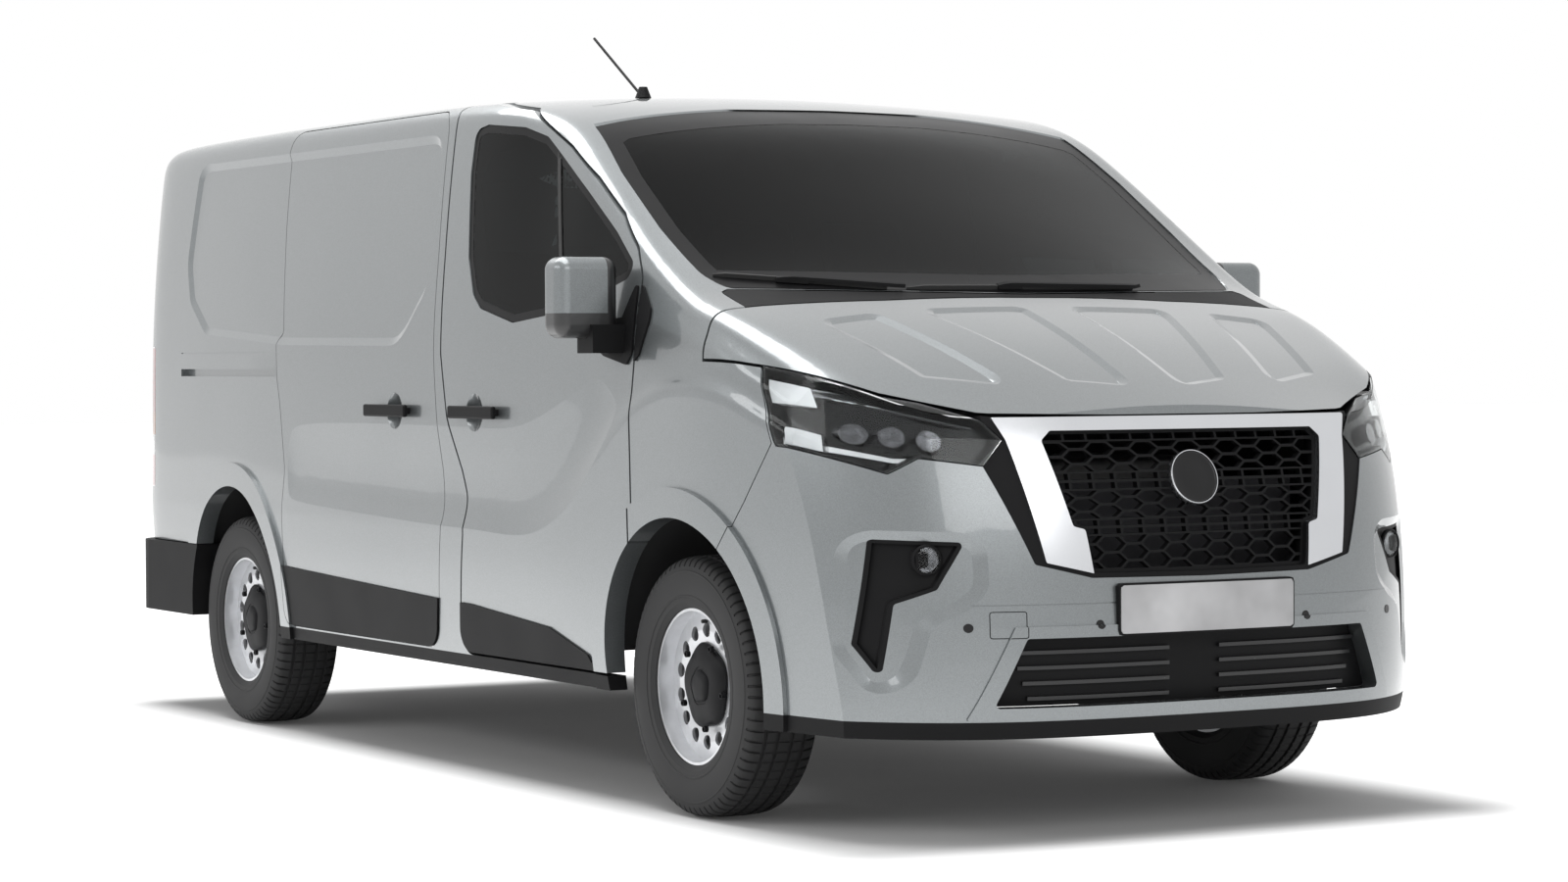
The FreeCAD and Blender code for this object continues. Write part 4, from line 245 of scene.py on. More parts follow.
def shade(colour, share):
    return tuple(part * share for part in colour)


def shades(colour, shares):
    return [shade(colour, share) for share in shares]


def paint_material(name, colour, deep):
    """Metallic paint: fine flakes under a clear coat."""
    made, net, surface = new_material(name)
    flakes = cells(net, FLAKE_SCALE)
    cloudy = noise(net, PAINT_CLOUDS)
    set_sockets(surface, net, {
        "Base Color": ramp(net, flakes.outputs["Color"], deep, colour, *FLAKE_SPAN),
        "Roughness": map_range(net, cloudy.outputs["Fac"], *PAINT_ROUGHNESS),
        "Normal": bump(net, flakes.outputs["Distance"], *FLAKE_BUMP),
        "Metallic": PAINT_METALLIC,
        "Coat Weight": 1.0,
        "Coat Roughness": PAINT_COAT_ROUGHNESS,
    })
    return made


def grained_material(name, colour, roughness=0.55, grain=420.0, depth=0.00025, specular=0.12):
    """Moulded plastic with a fine leather grain."""
    made, net, surface = new_material(name)
    coarse = noise(net, PLASTIC_CLOUDS).outputs["Fac"]
    fine = cells(net, grain)
    set_sockets(surface, net, {
        "Base Color": ramp(net, coarse, *shades(colour, PLASTIC_SHADES)),
        "Roughness": map_range(net, coarse, roughness - PLASTIC_UNEVEN, roughness + PLASTIC_UNEVEN),
        "Normal": bump(net, fine.outputs["Distance"], GRAIN_STRENGTH, depth),
        "Specular IOR Level": specular,
    })
    return made


def metal_material(name, colour, roughness, metallic=1.0, coat=0.0, streak=60.0, spread=0.09):
    """Bare, plated or painted metal with slight unevenness."""
    made, net, surface = new_material(name)
    uneven = noise(net, streak).outputs["Fac"]
    low, high = 1.0 - spread, 1.0 + spread
    set_sockets(surface, net, {
        "Base Color": ramp(net, uneven, *shades(colour, (low, high))),
        "Roughness": map_range(net, uneven, roughness * low, roughness * high),
        "Metallic": metallic,
        "Coat Weight": coat,
    })
    return made


def rubber_material(name, colour):
    made, net, surface = new_material(name)
    dusty = noise(net, RUBBER_CLOUDS, RUBBER_DETAIL).outputs["Fac"]
    grain = noise(net, RUBBER_GRAIN).outputs["Fac"]
    set_sockets(surface, net, {
        "Base Color": ramp(net, dusty, *shades(colour, RUBBER_SHADES)),
        "Roughness": map_range(net, dusty, *RUBBER_ROUGHNESS),
        "Normal": bump(net, grain, *RUBBER_BUMP),
    })
    return made


def glass_material(name, tint, ior):
    made, net, surface = new_material(name)
    uneven = noise(net, GLASS_CLOUDS).outputs["Fac"]
    set_sockets(surface, net, {
        "Base Color": ramp(net, uneven, shade(tint, GLASS_DARK_SHARE), tint),
        "Roughness": map_range(net, uneven, *GLASS_ROUGHNESS),
        "Transmission Weight": 1.0,
        "IOR": ior,
    })
    return made


def cloth_material(name, colour):
    made, net, surface = new_material(name)
    threads = [waves(net, THREAD_SCALE, direction, THREAD_WANDER) for direction in ("X", "Z")]
    weave = calculated(net, "MULTIPLY", *threads)
    set_sockets(surface, net, {
        "Base Color": ramp(net, weave, *shades(colour, CLOTH_SHADES)),
        "Roughness": CLOTH_ROUGHNESS,
        "Normal": bump(net, weave, *CLOTH_BUMP),
        "Sheen Weight": CLOTH_SHEEN,
    })
    return made


def split_material(name, upper, lower, height, inboard):
    """Painted above a height and outboard of a place, and black plastic elsewhere."""
    made, net, surface = new_material(name)
    parts = place_parts(net)
    wide = calculated(net, "ABSOLUTE", parts["X"])
    above = calculated(net, "GREATER_THAN", parts["Z"], height)
    outboard = calculated(net, "GREATER_THAN", wide, inboard)
    painted = calculated(net, "MULTIPLY", above, outboard)
    flakes = cells(net, FLAKE_SCALE)
    sparkle = ramp(net, flakes.outputs["Color"], shade(upper, MIRROR_DEEP_SHARE), upper, *FLAKE_SPAN)
    mixed = net.nodes.new("ShaderNodeMix")
    mixed.data_type = "RGBA"
    net.links.new(painted, mixed.inputs["Factor"])
    mixed.inputs["A"].default_value = (*lower, 1.0)
    net.links.new(sparkle, mixed.inputs["B"])
    set_sockets(surface, net, {
        "Base Color": mixed.outputs["Result"],
        "Metallic": map_range(net, painted, 0.0, PAINT_METALLIC),
        "Roughness": map_range(net, painted, *MIRROR_ROUGHNESS),
        "Coat Weight": MIRROR_COAT,
        "Coat Roughness": MIRROR_COAT_ROUGHNESS,
    })
    return made


def banded_lens(name, bands):
    """A lamp lens whose colour changes with height, over fine prisms."""
    made, net, surface = new_material(name)
    colours = net.nodes.new("ShaderNodeValToRGB")
    colours.color_ramp.interpolation = "CONSTANT"
    while len(colours.color_ramp.elements) < len(bands):
        colours.color_ramp.elements.new(0.5)
    for element, (height, colour) in zip(colours.color_ramp.elements, bands):
        element.position = height / LAMP_TOP
        element.color = (*colour, 1.0)
    share = calculated(net, "DIVIDE", place_parts(net)["Z"], LAMP_TOP)
    net.links.new(share, colours.inputs["Fac"])
    prisms = waves(net, PRISM_SCALE)
    set_sockets(surface, net, {
        "Base Color": colours.outputs["Color"],
        "Roughness": map_range(net, prisms, *PRISM_ROUGHNESS),
        "Normal": bump(net, prisms, *PRISM_BUMP),
        "Coat Weight": 1.0,
    })
    return made


def finned_material(name, colour, scale):
    """Thin upright fins, with painted shade darkening the gaps between them."""
    made, net, surface = new_material(name)
    fins = waves(net, scale)
    set_sockets(surface, net, {
        # The gaps between the fins get a darker copy of the fin colour: painted shade
        "Base Color": ramp(net, fins, shade(colour, FIN_GAP_SHADE_SHARE), colour),
        "Roughness": map_range(net, fins, *FIN_ROUGHNESS),
        "Normal": bump(net, fins, *FIN_BUMP),
        "Metallic": FIN_METALLIC,
    })
    return made


# Plastics give roughness, grain scale, grain depth and shine; metals roughness, share of metal, clear coat,
# scale of the unevenness and its strength
RECIPES = {
    "paint": (paint_material, PAINT, PAINT_DEEP),
    "mirror_shell": (split_material, PAINT, BLACK_PLASTIC, MIRROR_SPLIT, MIRROR_ARM_END),
    "black_plastic": (grained_material, BLACK_PLASTIC),
    "grey_plastic": (grained_material, GREY_PLASTIC, 0.6),
    "gloss_black": (grained_material, BLACK_PLASTIC, 0.16, 300.0, 0.00002, 0.3),
    "border": (grained_material, BLACK_PLASTIC, 0.30, 500.0, 0.00001, 0.10),
    "cap_plastic": (grained_material, CAP_BLACK, 0.45, 700.0, 0.00008),
    "slat_plastic": (grained_material, CAP_BLACK, 0.35, 500.0, 0.00005, 0.5),
    "plate": (grained_material, PLATE_GREY, 0.35, 900.0, 0.00003),
    "rubber": (rubber_material, RUBBER),
    "tyre": (rubber_material, TYRE_BLACK),
    "silver": (metal_material, SILVER, 0.34, 0.5, 0.5, 40.0, 0.04),
    "projector_glass": (metal_material, PROJECTOR_GREY, 0.12, 0.9, 1.0, 90.0, 0.6),
    "satin_chrome": (metal_material, CHROME, 0.26, 1.0, 0.0, 4.0, 0.03),
    "mirror": (metal_material, MIRROR_SILVER, 0.02),
    "coating": (metal_material, COATING, 0.6, 0.3),
    "cast": (metal_material, CAST, 0.6),
    "steel": (metal_material, STEEL, 0.42),
    "fins": (finned_material, FIN_GREY, FIN_SCALE),
    "panel": (metal_material, PANEL_GREY, 0.5, 0.0),
    "cloth": (cloth_material, CLOTH),
    "tail_lens": (banded_lens, TAIL_BANDS),
    "brake_red": (banded_lens, BRAKE_BANDS),
    "clear_lens": (glass_material, CLEAR, LENS_IOR),
    "windscreen_glass": (glass_material, WINDSCREEN_TINT, GLASS_IOR),
    "tinted_glass": (glass_material, TINT, GLASS_IOR),
    "guide": (grained_material, GUIDE_WHITE, 0.25, 200.0, 0.00005),
}
MATERIALS = {name: maker(name, *values) for name, (maker, *values) in RECIPES.items()}

ENDS = ("front", "rear")
SIDES = {"right": -1.0, "left": 1.0}

# Finish of each of the model's nodes
FINISHES = {
    "paint": (
        "body_shell", "front_fenders", "bonnet", "front_door_right", "front_door_left", "sliding_door",
        "rear_door_right", "rear_door_left", "front_bumper",
    ),
    "mirror_shell": ("mirror_right", "mirror_left"),
    "black_plastic": (
        "sills", "front_lip", "cowl", "door_trim_right", "door_trim_left", "sliding_door_trim",
        "grille_mesh", "grille_frame", "lower_grille", "fog_lamps", "rear_bumper", "roof_antenna",
        "side_trim_left",
    ),
    "coating": ("underbody", "front_subframe", "knuckle_right", "knuckle_left", "rear_axle", "fuel_tank"),
    "cast": ("engine",),
    "steel": ("exhaust",),
    "windscreen_glass": ("windscreen",),
    "tinted_glass": ("door_glass_right", "door_glass_left"),
    "clear_lens": ("headlamp_lenses",),
    "gloss_black": ("headlamps",),
    "fins": ("radiator",),
    "satin_chrome": ("grille_surround",),
    "projector_glass": ("projectors",),
    "guide": ("light_guides",),
    "tail_lens": ("tail_lamps",),
    "panel": ("bulkhead",),
    "cloth": ("seats",),
    "grey_plastic": ("dashboard", "steering_wheel"),
    "silver": tuple("rim_%s_%s" % (end, side) for end in ENDS for side in SIDES),
    "rubber": tuple("tyre_%s_%s" % (end, side) for end in ENDS for side in SIDES),
}


def finish_nodes():
    for finish, names in FINISHES.items():
        for name in names:
            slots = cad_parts[name].data.materials
            slots.clear()
            slots.append(MATERIALS[finish])


# Points along an outline: long plates, middling ones, small ones, the least, and the ring of a pane's border
LONG, MIDDLING, SHORT, SMALL, LEAST = 120, 96, 72, 60, 48
BORDER_POINTS = 220

# Making of forms: points closer than this are one, how far outside the van a ray starts, how many places of
# a missed ray are tried, and the angles from which an edge is sharp
MERGE = 0.00001
FAR = 4.0
STEPS = 12
SHARP_DEGREES = 38.0
TREAD_SHARP_DEGREES = 30.0
CLOTH_SHARP_DEGREES = 80.0
BLOCK_SEGMENTS = 3
BLOCK_PROFILE = 0.5
MOST_CUT = 0.45
BAR_TOP_SHARE = 0.6

# Views along which a flat outline is laid on the van: its two axes and the way in
VIEWS = {
    "right": ((0.0, 1.0, 0.0), (0.0, 0.0, 1.0), (1.0, 0.0, 0.0)),
    "left": ((0.0, 1.0, 0.0), (0.0, 0.0, 1.0), (-1.0, 0.0, 0.0)),
    "front": ((1.0, 0.0, 0.0), (0.0, 0.0, 1.0), (0.0, 1.0, 0.0)),
    "rear": ((1.0, 0.0, 0.0), (0.0, 0.0, 1.0), (0.0, -1.0, 0.0)),
}


def caster(view, *names):
    """Gives the place and the outward direction where a view's ray meets the named nodes."""
    across, up, way = (Vector(axis) for axis in VIEWS[view])
    corners, faces = [], []
    for name in names:
        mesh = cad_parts[name].data
        first = len(corners)
        corners += [corner.co for corner in mesh.vertices]
        faces += [[first + at for at in face.vertices] for face in mesh.polygons]
    tree = BVHTree.FromPolygons(corners, faces)
    depths = [corner.dot(way) for corner in corners]
    near, far = min(depths), max(depths)

    def beside(start):
        """The surface point that lies least to the side of a ray that passes the nodes."""
        tried = [near + (far - near) * step / STEPS for step in range(STEPS + 1)]
        found = [tree.find_nearest(start + way * depth) for depth in tried]
        flat = [(hit[0] - start) - way * (hit[0] - start).dot(way) for hit in found]
        best = min(range(STEPS + 1), key=lambda at: flat[at].length)
        return found[best][:2]

    def meet(point):
        start = across * point[0] + up * point[1]
        place, normal, _, _ = tree.ray_cast(start - way * FAR, way)
        if place is None:
            place, normal = beside(start)
        return place, (-normal if normal.dot(way) > 0.0 else normal)

    return meet


def lofted(loops, closed=False, caps=True):
    """A form through loops of equal count, closed into a ring or with flat ends."""
    count, steps = len(loops[0]), len(loops)
    faces = []
    for step in range(steps if closed else steps - 1):
        here, there = step * count, (step + 1) % steps * count
        for at in range(count):
            after = (at + 1) % count
            faces.append((here + at, here + after, there + after, there + at))
    if caps and not closed:
        faces.append(tuple(reversed(range(count))))
        faces.append(tuple(range((steps - 1) * count, steps * count)))
    return [corner for loop in loops for corner in loop], faces


def turned(profile, centre, axis, steps=64, closed=False, swell=None):
    """A form turned about an axis, from places along it and radii; swell gives each angle's share of them."""
    axis = Vector(axis).normalized()
    across = axis.orthogonal().normalized()
    up = axis.cross(across)
    loops = []
    for along, radius in profile:
        loop = []
        for step in range(steps):
            angle = math.tau * step / steps
            out = across * math.cos(angle) + up * math.sin(angle)
            loop.append(Vector(centre) + axis * along + out * radius * (swell(angle) if swell else 1.0))
        loops.append(loop)
    return lofted(loops, closed)


def scaled(profile, radius):
    """A turned profile from places along its axis and shares of a radius."""
    return [(along, radius * share) for along, share in profile]


def block(low, high, radius):
    """A box between two corners with rounded edges."""
    low, high = Vector(low), Vector(high)
    shape = bmesh.new()
    bmesh.ops.create_cube(shape, size=1.0)
    for corner in shape.verts:
        corner.co = Vector(a + (b - a) * (part + 0.5) for a, b, part in zip(low, high, corner.co))
    bmesh.ops.bevel(shape, geom=list(shape.edges), offset=radius, segments=BLOCK_SEGMENTS,
                    affect="EDGES", profile=BLOCK_PROFILE)
    shape.verts.index_update()
    made = [corner.co.copy() for corner in shape.verts], [[c.index for c in f.verts] for f in shape.faces]
    shape.free()
    return made


def bar(path, ups, widths, heights):
    """A tapered strip along a path that stands on its underside."""
    loops = []
    for at, place in enumerate(path):
        along = (path[min(at + 1, len(path) - 1)] - path[max(at - 1, 0)]).normalized()
        up = (ups[at] - along * ups[at].dot(along)).normalized()
        side = along.cross(up) * widths[at] / 2
        top = up * heights[at]
        loops.append([place - side, place + side, place + side * BAR_TOP_SHARE + top,
                      place - side * BAR_TOP_SHARE + top])
    return lofted(loops)


def moved(form, matrix):
    return [matrix @ corner for corner in form[0]], form[1]


def rounded(points, radius, steps=5):
    """A flat closed outline with its corners rounded."""
    points = [Vector(point) for point in points]
    made = []
    for at, point in enumerate(points):
        ways = [points[at - 1] - point, points[(at + 1) % len(points)] - point]
        corner = radius / math.tan(ways[0].angle(ways[1]) / 2)
        cut = min(corner, MOST_CUT * ways[0].length, MOST_CUT * ways[1].length)
        start, end = (point + way.normalized() * cut for way in ways)
        for step in range(steps + 1):
            share = step / steps
            made.append(start.lerp(point, share).lerp(point.lerp(end, share), share))
    return made


def rectangle(middle, width, height, radius):
    x, y = middle
    half, tall = width / 2, height / 2
    signs = ((-1, -1), (1, -1), (1, 1), (-1, 1))
    return rounded([(x + across * half, y + up * tall) for across, up in signs], radius)


def circle(middle, radius, steps=40):
    turns = [math.tau * step / steps for step in range(steps)]
    return [Vector((middle[0] + radius * math.cos(a), middle[1] + radius * math.sin(a))) for a in turns]


def resampled(outline, count):
    """The same closed outline with evenly spaced points."""
    ends = outline[1:] + outline[:1]
    lengths = [(b - a).length for a, b in zip(outline, ends)]
    total, made, passed, at = sum(lengths), [], 0.0, 0
    for step in range(count):
        place = total * step / count
        while passed + lengths[at] < place:
            passed += lengths[at]
            at += 1
        share = (place - passed) / max(lengths[at], MERGE)
        made.append(outline[at].lerp(ends[at], share))
    return made


def centre_of(outline):
    return sum(outline, Vector((0.0, 0.0))) / len(outline)


def shrunk(outline, width):
    """The outline moved inward by a width along the bisector of its neighbours."""
    made = []
    area = sum(a.x * b.y - b.x * a.y for a, b in zip(outline, outline[1:] + outline[:1]))
    turn = 1.0 if area > 0.0 else -1.0
    for at, point in enumerate(outline):
        along = (outline[(at + 1) % len(outline)] - outline[at - 1]).normalized()
        made.append(point + Vector((-along.y, along.x)) * width * turn)
    return made


def patch(outline, meet, proud, sunk=0.0, inner=None, rings=5):
    """A thin closed plate that follows the panels under a flat outline, or a ring with an inner outline."""
    centre = centre_of(outline)
    tops, bottoms = [], []
    for step in range(rings + 1):
        share = step / rings
        flat = [point.lerp(inner[at] if inner else centre, share) for at, point in enumerate(outline)]
        met = [meet(point) for point in flat]
        tops.append([place + normal * proud for place, normal in met])
        bottoms.append([place - normal * sunk for place, normal in met])
    return lofted(bottoms[::-1] + tops, closed=bool(inner), caps=False)


def hull_of(node, view):
    """A node's outline in a view, as a convex hull."""
    across, up, _ = (Vector(axis) for axis in VIEWS[view])
    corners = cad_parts[node].data.vertices
    flat = [Vector((corner.co.dot(across), corner.co.dot(up))) for corner in corners]
    return [flat[at] for at in convex_hull_2d(flat)]


def inset_hull(hull, inset, count):
    """The hull moved inward, as points seen from its centre at the same turns for every inset."""
    centre = centre_of(resampled(hull, count))
    edges = []
    for a, b in zip(hull, hull[1:] + hull[:1]):
        out = Vector(((b - a).y, -(b - a).x)).normalized()
        if out.dot(a - centre) < 0.0:
            out = -out
        edges.append((out, out.dot(a - centre)))
    made = []
    for point in resampled(hull, count):
        way = (point - centre).normalized()
        reach = min((offset - inset) / way.dot(out) for out, offset in edges if way.dot(out) > MERGE)
        made.append(centre + way * reach)
    return made


def join(forms):
    corners, faces = [], []
    for made_corners, made_faces in forms:
        first = len(corners)
        corners += list(made_corners)
        faces += [tuple(first + at for at in face) for face in made_faces]
    return corners, faces


def add(name, forms, finish, body="van_body", sharp=SHARP_DEGREES):
    """One visible piece from its forms, with its finish, riding on a body."""
    corners, faces = join(forms)
    mesh = bpy.data.meshes.new(name)
    mesh.from_pydata([tuple(corner) for corner in corners], [], faces)
    shape = bmesh.new()
    shape.from_mesh(mesh)
    bmesh.ops.remove_doubles(shape, verts=shape.verts, dist=MERGE)
    bmesh.ops.recalc_face_normals(shape, faces=shape.faces)
    shape.to_mesh(mesh)
    shape.free()
    mesh.materials.append(MATERIALS[finish])
    mesh.shade_smooth()
    mesh.set_sharp_from_angle(angle=math.radians(sharp))
    made = bpy.data.objects.new(name, mesh)
    bpy.context.scene.collection.objects.link(made)
    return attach(made, body)


# Glass: black printed borders, in metres inward from the edge, and the strip that divides the door glass
BORDER_WIDTHS = {"windscreen": 0.048, "door": 0.022}
BORDER_PROUD = 0.0006
BORDER_RINGS = 3
DIVIDER = ((-0.716, 1.80), (-0.88, 1.31))
DIVIDER_WIDTH = 0.016
DIVIDER_PROUD = 0.003


def glass_border(name, node, view, width, body):
    """A printed border of a width along a pane's edge."""
    hull = hull_of(node, view)
    outer = inset_hull(hull, MM, BORDER_POINTS)
    inner = inset_hull(hull, width, BORDER_POINTS)
    border = patch(outer, caster(view, node), BORDER_PROUD, 0.0, inner, BORDER_RINGS)
    add(name, [border], "border", body)


def ribbon(points, width, meet, proud, sunk=0.0, steps=24):
    """A strip of even width that follows the panels along a flat line."""
    a, b = (Vector(point) for point in points)
    along = (b - a).normalized()
    side = Vector((-along.y, along.x)) * width / 2
    left = [a.lerp(b, step / steps) + side for step in range(steps + 1)]
    right = [a.lerp(b, step / steps) - side for step in range(steps + 1)]
    tops, bottoms = [], []
    for one, other in zip(left, right):
        met = [meet(point) for point in (one, other)]
        tops.append([place + normal * proud for place, normal in met])
        bottoms.append([place - normal * sunk for place, normal in met])
    loops = [(low[0], low[1], top[1], top[0]) for low, top in zip(bottoms, tops)]
    return lofted([list(loop) for loop in loops])


def glazing():
    glass_border("windscreen_border", "windscreen", "front", BORDER_WIDTHS["windscreen"], "van_body")
    for side in SIDES:
        node = "door_glass_%s" % side
        body = "front_door_%s" % side
        glass_border("door_glass_border_%s" % side, node, side, BORDER_WIDTHS["door"], body)
        strip = ribbon(DIVIDER, DIVIDER_WIDTH, caster(side, node), DIVIDER_PROUD)
        add("door_glass_divider_%s" % side, [strip], "rubber", body)


# Wipers, as places across and up in the front view: blade ends and the arm's mount and foot
WIPERS = {
    "outer": ((-0.800, 1.403), (-0.385, 1.3665), (-0.622, 1.384), (-0.345, 1.363)),
    "inner": ((-0.330, 1.3665), (0.400, 1.3700), (-0.020, 1.3680), (0.420, 1.364)),
}
BLADE_WIDTH = 0.010
BLADE_HEIGHT = 0.011
ARM_WIDTH = 0.016
ARM_HEIGHT = 0.009
MOUNT_LENGTH = 0.075
MOUNT_WIDTH = 0.0208
MOUNT_HEIGHTS = (0.010, 0.014, 0.016, 0.014, 0.010)
BLADE_TIP_SHARE = 0.5
BLADE_LIFT = 0.001
MOUNT_LIFT = 0.004


def glass_path(ends, meet, lift, steps=14):
    a, b = (Vector(end) for end in ends)
    met = [meet(a.lerp(b, step / steps)) for step in range(steps + 1)]
    return [place + normal * lift for place, normal in met], [normal for _, normal in met]


def wipers():
    meet = caster("front", "windscreen")
    for name, (left, right, mount, foot) in WIPERS.items():
        path, ups = glass_path((left, right), meet, BLADE_LIFT)
        count = len(path)
        tips = [BLADE_TIP_SHARE if at in (0, count - 1) else 1.0 for at in range(count)]
        blade = bar(path, ups, [BLADE_WIDTH * tip for tip in tips], [BLADE_HEIGHT * tip for tip in tips])
        add("wiper_blade_%s" % name, [blade], "rubber")
        arm_path, arm_ups = glass_path((mount, foot), meet, BLADE_HEIGHT)
        arm = bar(arm_path, arm_ups, [ARM_WIDTH] * count, [ARM_HEIGHT] * count)
        way = (Vector(right) - Vector(left)).normalized() * (MOUNT_LENGTH / 2)
        ends = Vector(mount) - way, Vector(mount) + way
        hold_path, hold_ups = glass_path(ends, meet, MOUNT_LIFT, len(MOUNT_HEIGHTS) - 1)
        hold = bar(hold_path, hold_ups, [MOUNT_WIDTH] * len(MOUNT_HEIGHTS), MOUNT_HEIGHTS)
        add("wiper_arm_%s" % name, [arm, hold], "black_plastic")


# Front: blank plate in its holder, bare badge disc, sensors, tow cover and fog lamps
PLATE = ((0.0, 0.5705), 0.520, 0.118)
PLATE_CORNER = 0.008
PLATE_PROUD = 0.0065
PLATE_HOLDER_MARGIN = 0.010
PLATE_HOLDER_CORNER = 0.012
PLATE_HOLDER_PROUD = 0.004
PLATE_HOLDER_SUNK = 0.012
BOW_ROWS = 0.045
SLAT_HEIGHTS = (0.358, 0.395, 0.432, 0.469)
SLAT_ENDS = ((-0.515, -0.085), (0.065, 0.515))
SLAT_SLOPE = 0.35
SLAT_HEIGHT = 0.009
SLAT_PROUD = 0.010
BLOCK_REACH = 0.2
BADGE_PLACE = Vector((0.0, -2.482, 0.887))
BADGE_RADIUS = 0.066
BADGE_TILT = math.radians(16.5)
BADGE_STEPS = 96
BADGE_DISC = (
    (-0.010, 1.0), (0.002, 1.0), (0.005, 0.985), (0.006, 0.95), (0.005, 0.90), (0.0065, 0.5), (0.007, 0.02),
)
BADGE_RIM = ((-0.008, 1.00), (-0.008, 1.07), (0.004, 1.07), (0.0075, 1.04), (0.0075, 1.01), (0.004, 1.0))
SENSORS = ((-0.636, 0.534), (-0.311, 0.536), (0.311, 0.536), (0.636, 0.534))
SENSOR_RADIUS = 0.011
SENSOR_PROUD = 0.0012
TOW_COVER = ((-0.5455, 0.540), 0.089, 0.066)
TOW_CORNER = 0.008
TOW_LINE_WIDTH = 0.0022
TOW_LINE_PROUD = 0.0003
FOG_PLACE = (0.706, 0.698)
FOG_RADIUS = 0.031
FOG_FACING = (0.30, -1.0, 0.02)
FOG_RING = ((-0.004, 1.22), (0.004, 1.22), (0.007, 1.12), (0.004, 1.0), (-0.004, 1.0))
FOG_BOWL = ((-0.002, 1.02), (0.001, 0.8), (-0.001, 0.5), (-0.001, 0.02))
FOG_LENS = ((0.002, 1.0), (0.0045, 0.98), (0.007, 0.75), (0.009, 0.4), (0.010, 0.02))


def bowed(meet, middle, half):
    """A smooth bow through the panel's foremost places at the middle and at both ends."""
    rows = [middle[1] + half_row for half_row in (-BOW_ROWS, 0.0, BOW_ROWS)]
    ends = [min(meet((middle[0] + x, row))[0].y for row in rows) for x in (-half, 0.0, half)]

    def met(point):
        share = (point[0] - middle[0]) / half
        y = ends[1] + ((ends[0] + ends[2]) / 2 - ends[1]) * share ** 2
        return Vector((point[0], y, point[1])), Vector((0.0, -1.0, 0.0))

    return met


def intake_slats(meet):
    """Louvres across the intake on both sides of its middle block."""
    forms = []
    for z in SLAT_HEIGHTS:
        lean = SLAT_SLOPE * (z - SLAT_HEIGHTS[-1])
        for ends in SLAT_ENDS:
            line = [(x + math.copysign(lean, -x) * (abs(x) > BLOCK_REACH), z) for x in ends]
            forms.append(ribbon(line, SLAT_HEIGHT, meet, SLAT_PROUD))
    add("intake_slats", forms, "slat_plastic")


def front_details():
    meet = caster("front", "front_bumper")
    intake_slats(caster("front", "lower_grille"))
    middle, width, height = PLATE
    plate_meet = bowed(meet, middle, width / 2)
    margin = PLATE_HOLDER_MARGIN
    holder = rectangle(middle, width + margin, height + margin, PLATE_HOLDER_CORNER)
    holder = patch(resampled(holder, LONG), plate_meet, PLATE_HOLDER_PROUD, PLATE_HOLDER_SUNK)
    add("plate_holder", [holder], "black_plastic")
    plate = resampled(rectangle(middle, width, height, PLATE_CORNER), LONG)
    add("number_plate_blank", [patch(plate, plate_meet, PLATE_PROUD)], "plate")
    for number, place in enumerate(SENSORS):
        ring = circle(place, SENSOR_RADIUS)
        add("parking_sensor_%d" % number, [patch(ring, meet, SENSOR_PROUD)], "gloss_black")
    outer = resampled(rectangle(*TOW_COVER, TOW_CORNER), MIDDLING)
    line = patch(outer, meet, TOW_LINE_PROUD, 0.0, shrunk(outer, TOW_LINE_WIDTH), 1)
    add("tow_cover_line", [line], "border")
    facing = Vector((0.0, -math.cos(BADGE_TILT), math.sin(BADGE_TILT)))
    disc = turned(scaled(BADGE_DISC, BADGE_RADIUS), BADGE_PLACE, facing, BADGE_STEPS)
    add("badge_disc_blank", [disc], "gloss_black")
    rim = turned(scaled(BADGE_RIM, BADGE_RADIUS), BADGE_PLACE, facing, BADGE_STEPS, True)
    add("badge_rim", [rim], "satin_chrome")


def fog_lamps():
    meet = caster("front", "fog_lamps", "front_bumper")
    for side, sign in SIDES.items():
        place, _ = meet((sign * FOG_PLACE[0], FOG_PLACE[1]))
        out, ahead, up = FOG_FACING
        facing = Vector((sign * out, ahead, up)).normalized()
        for name, profile, finish in (
            ("ring", FOG_RING, "black_plastic"), ("bowl", FOG_BOWL, "projector_glass"),
            ("lens", FOG_LENS, "clear_lens"),
        ):
            form = turned(scaled(profile, FOG_RADIUS), place, facing, closed=profile is FOG_RING)
            add("fog_lamp_%s_%s" % (name, side), [form], finish)


# Headlamp: bright strip along the top of the housing, in the front view
LAMP_STRIP = ((0.865, 1.113), (0.564, 1.028), (0.557, 1.009), (0.860, 1.093))
LAMP_STRIP_CORNER = 0.004
LAMP_STRIP_PROUD = 0.004


def lamp_strips():
    for side, sign in SIDES.items():
        outline = rounded([(sign * x, z) for x, z in LAMP_STRIP], LAMP_STRIP_CORNER)
        strip = patch(resampled(outline, LONG), caster("front", "headlamps"), LAMP_STRIP_PROUD)
        add("headlamp_strip_%s" % side, [strip], "satin_chrome")


# Mirrors: reflecting glass on the rear face, and the black foot on door and wing
MIRROR_GLASS = ((1.062, 1.352), 0.132, 0.168)
MIRROR_CORNER = 0.035
MIRROR_PROUD = 0.0015
FOOT_ON_DOOR = (
    (-1.308, 1.405), (-1.312, 1.205), (-1.285, 1.172), (-1.150, 1.196), (-1.070, 1.232), (-1.085, 1.286),
    (-1.245, 1.298),
)
FOOT_ON_WING = ((-1.322, 1.395), (-1.392, 1.315), (-1.390, 1.285), (-1.352, 1.200), (-1.322, 1.175))
FOOT_PROUD = 0.006
FOOT_CORNER = 0.014
WING_CORNER = 0.012


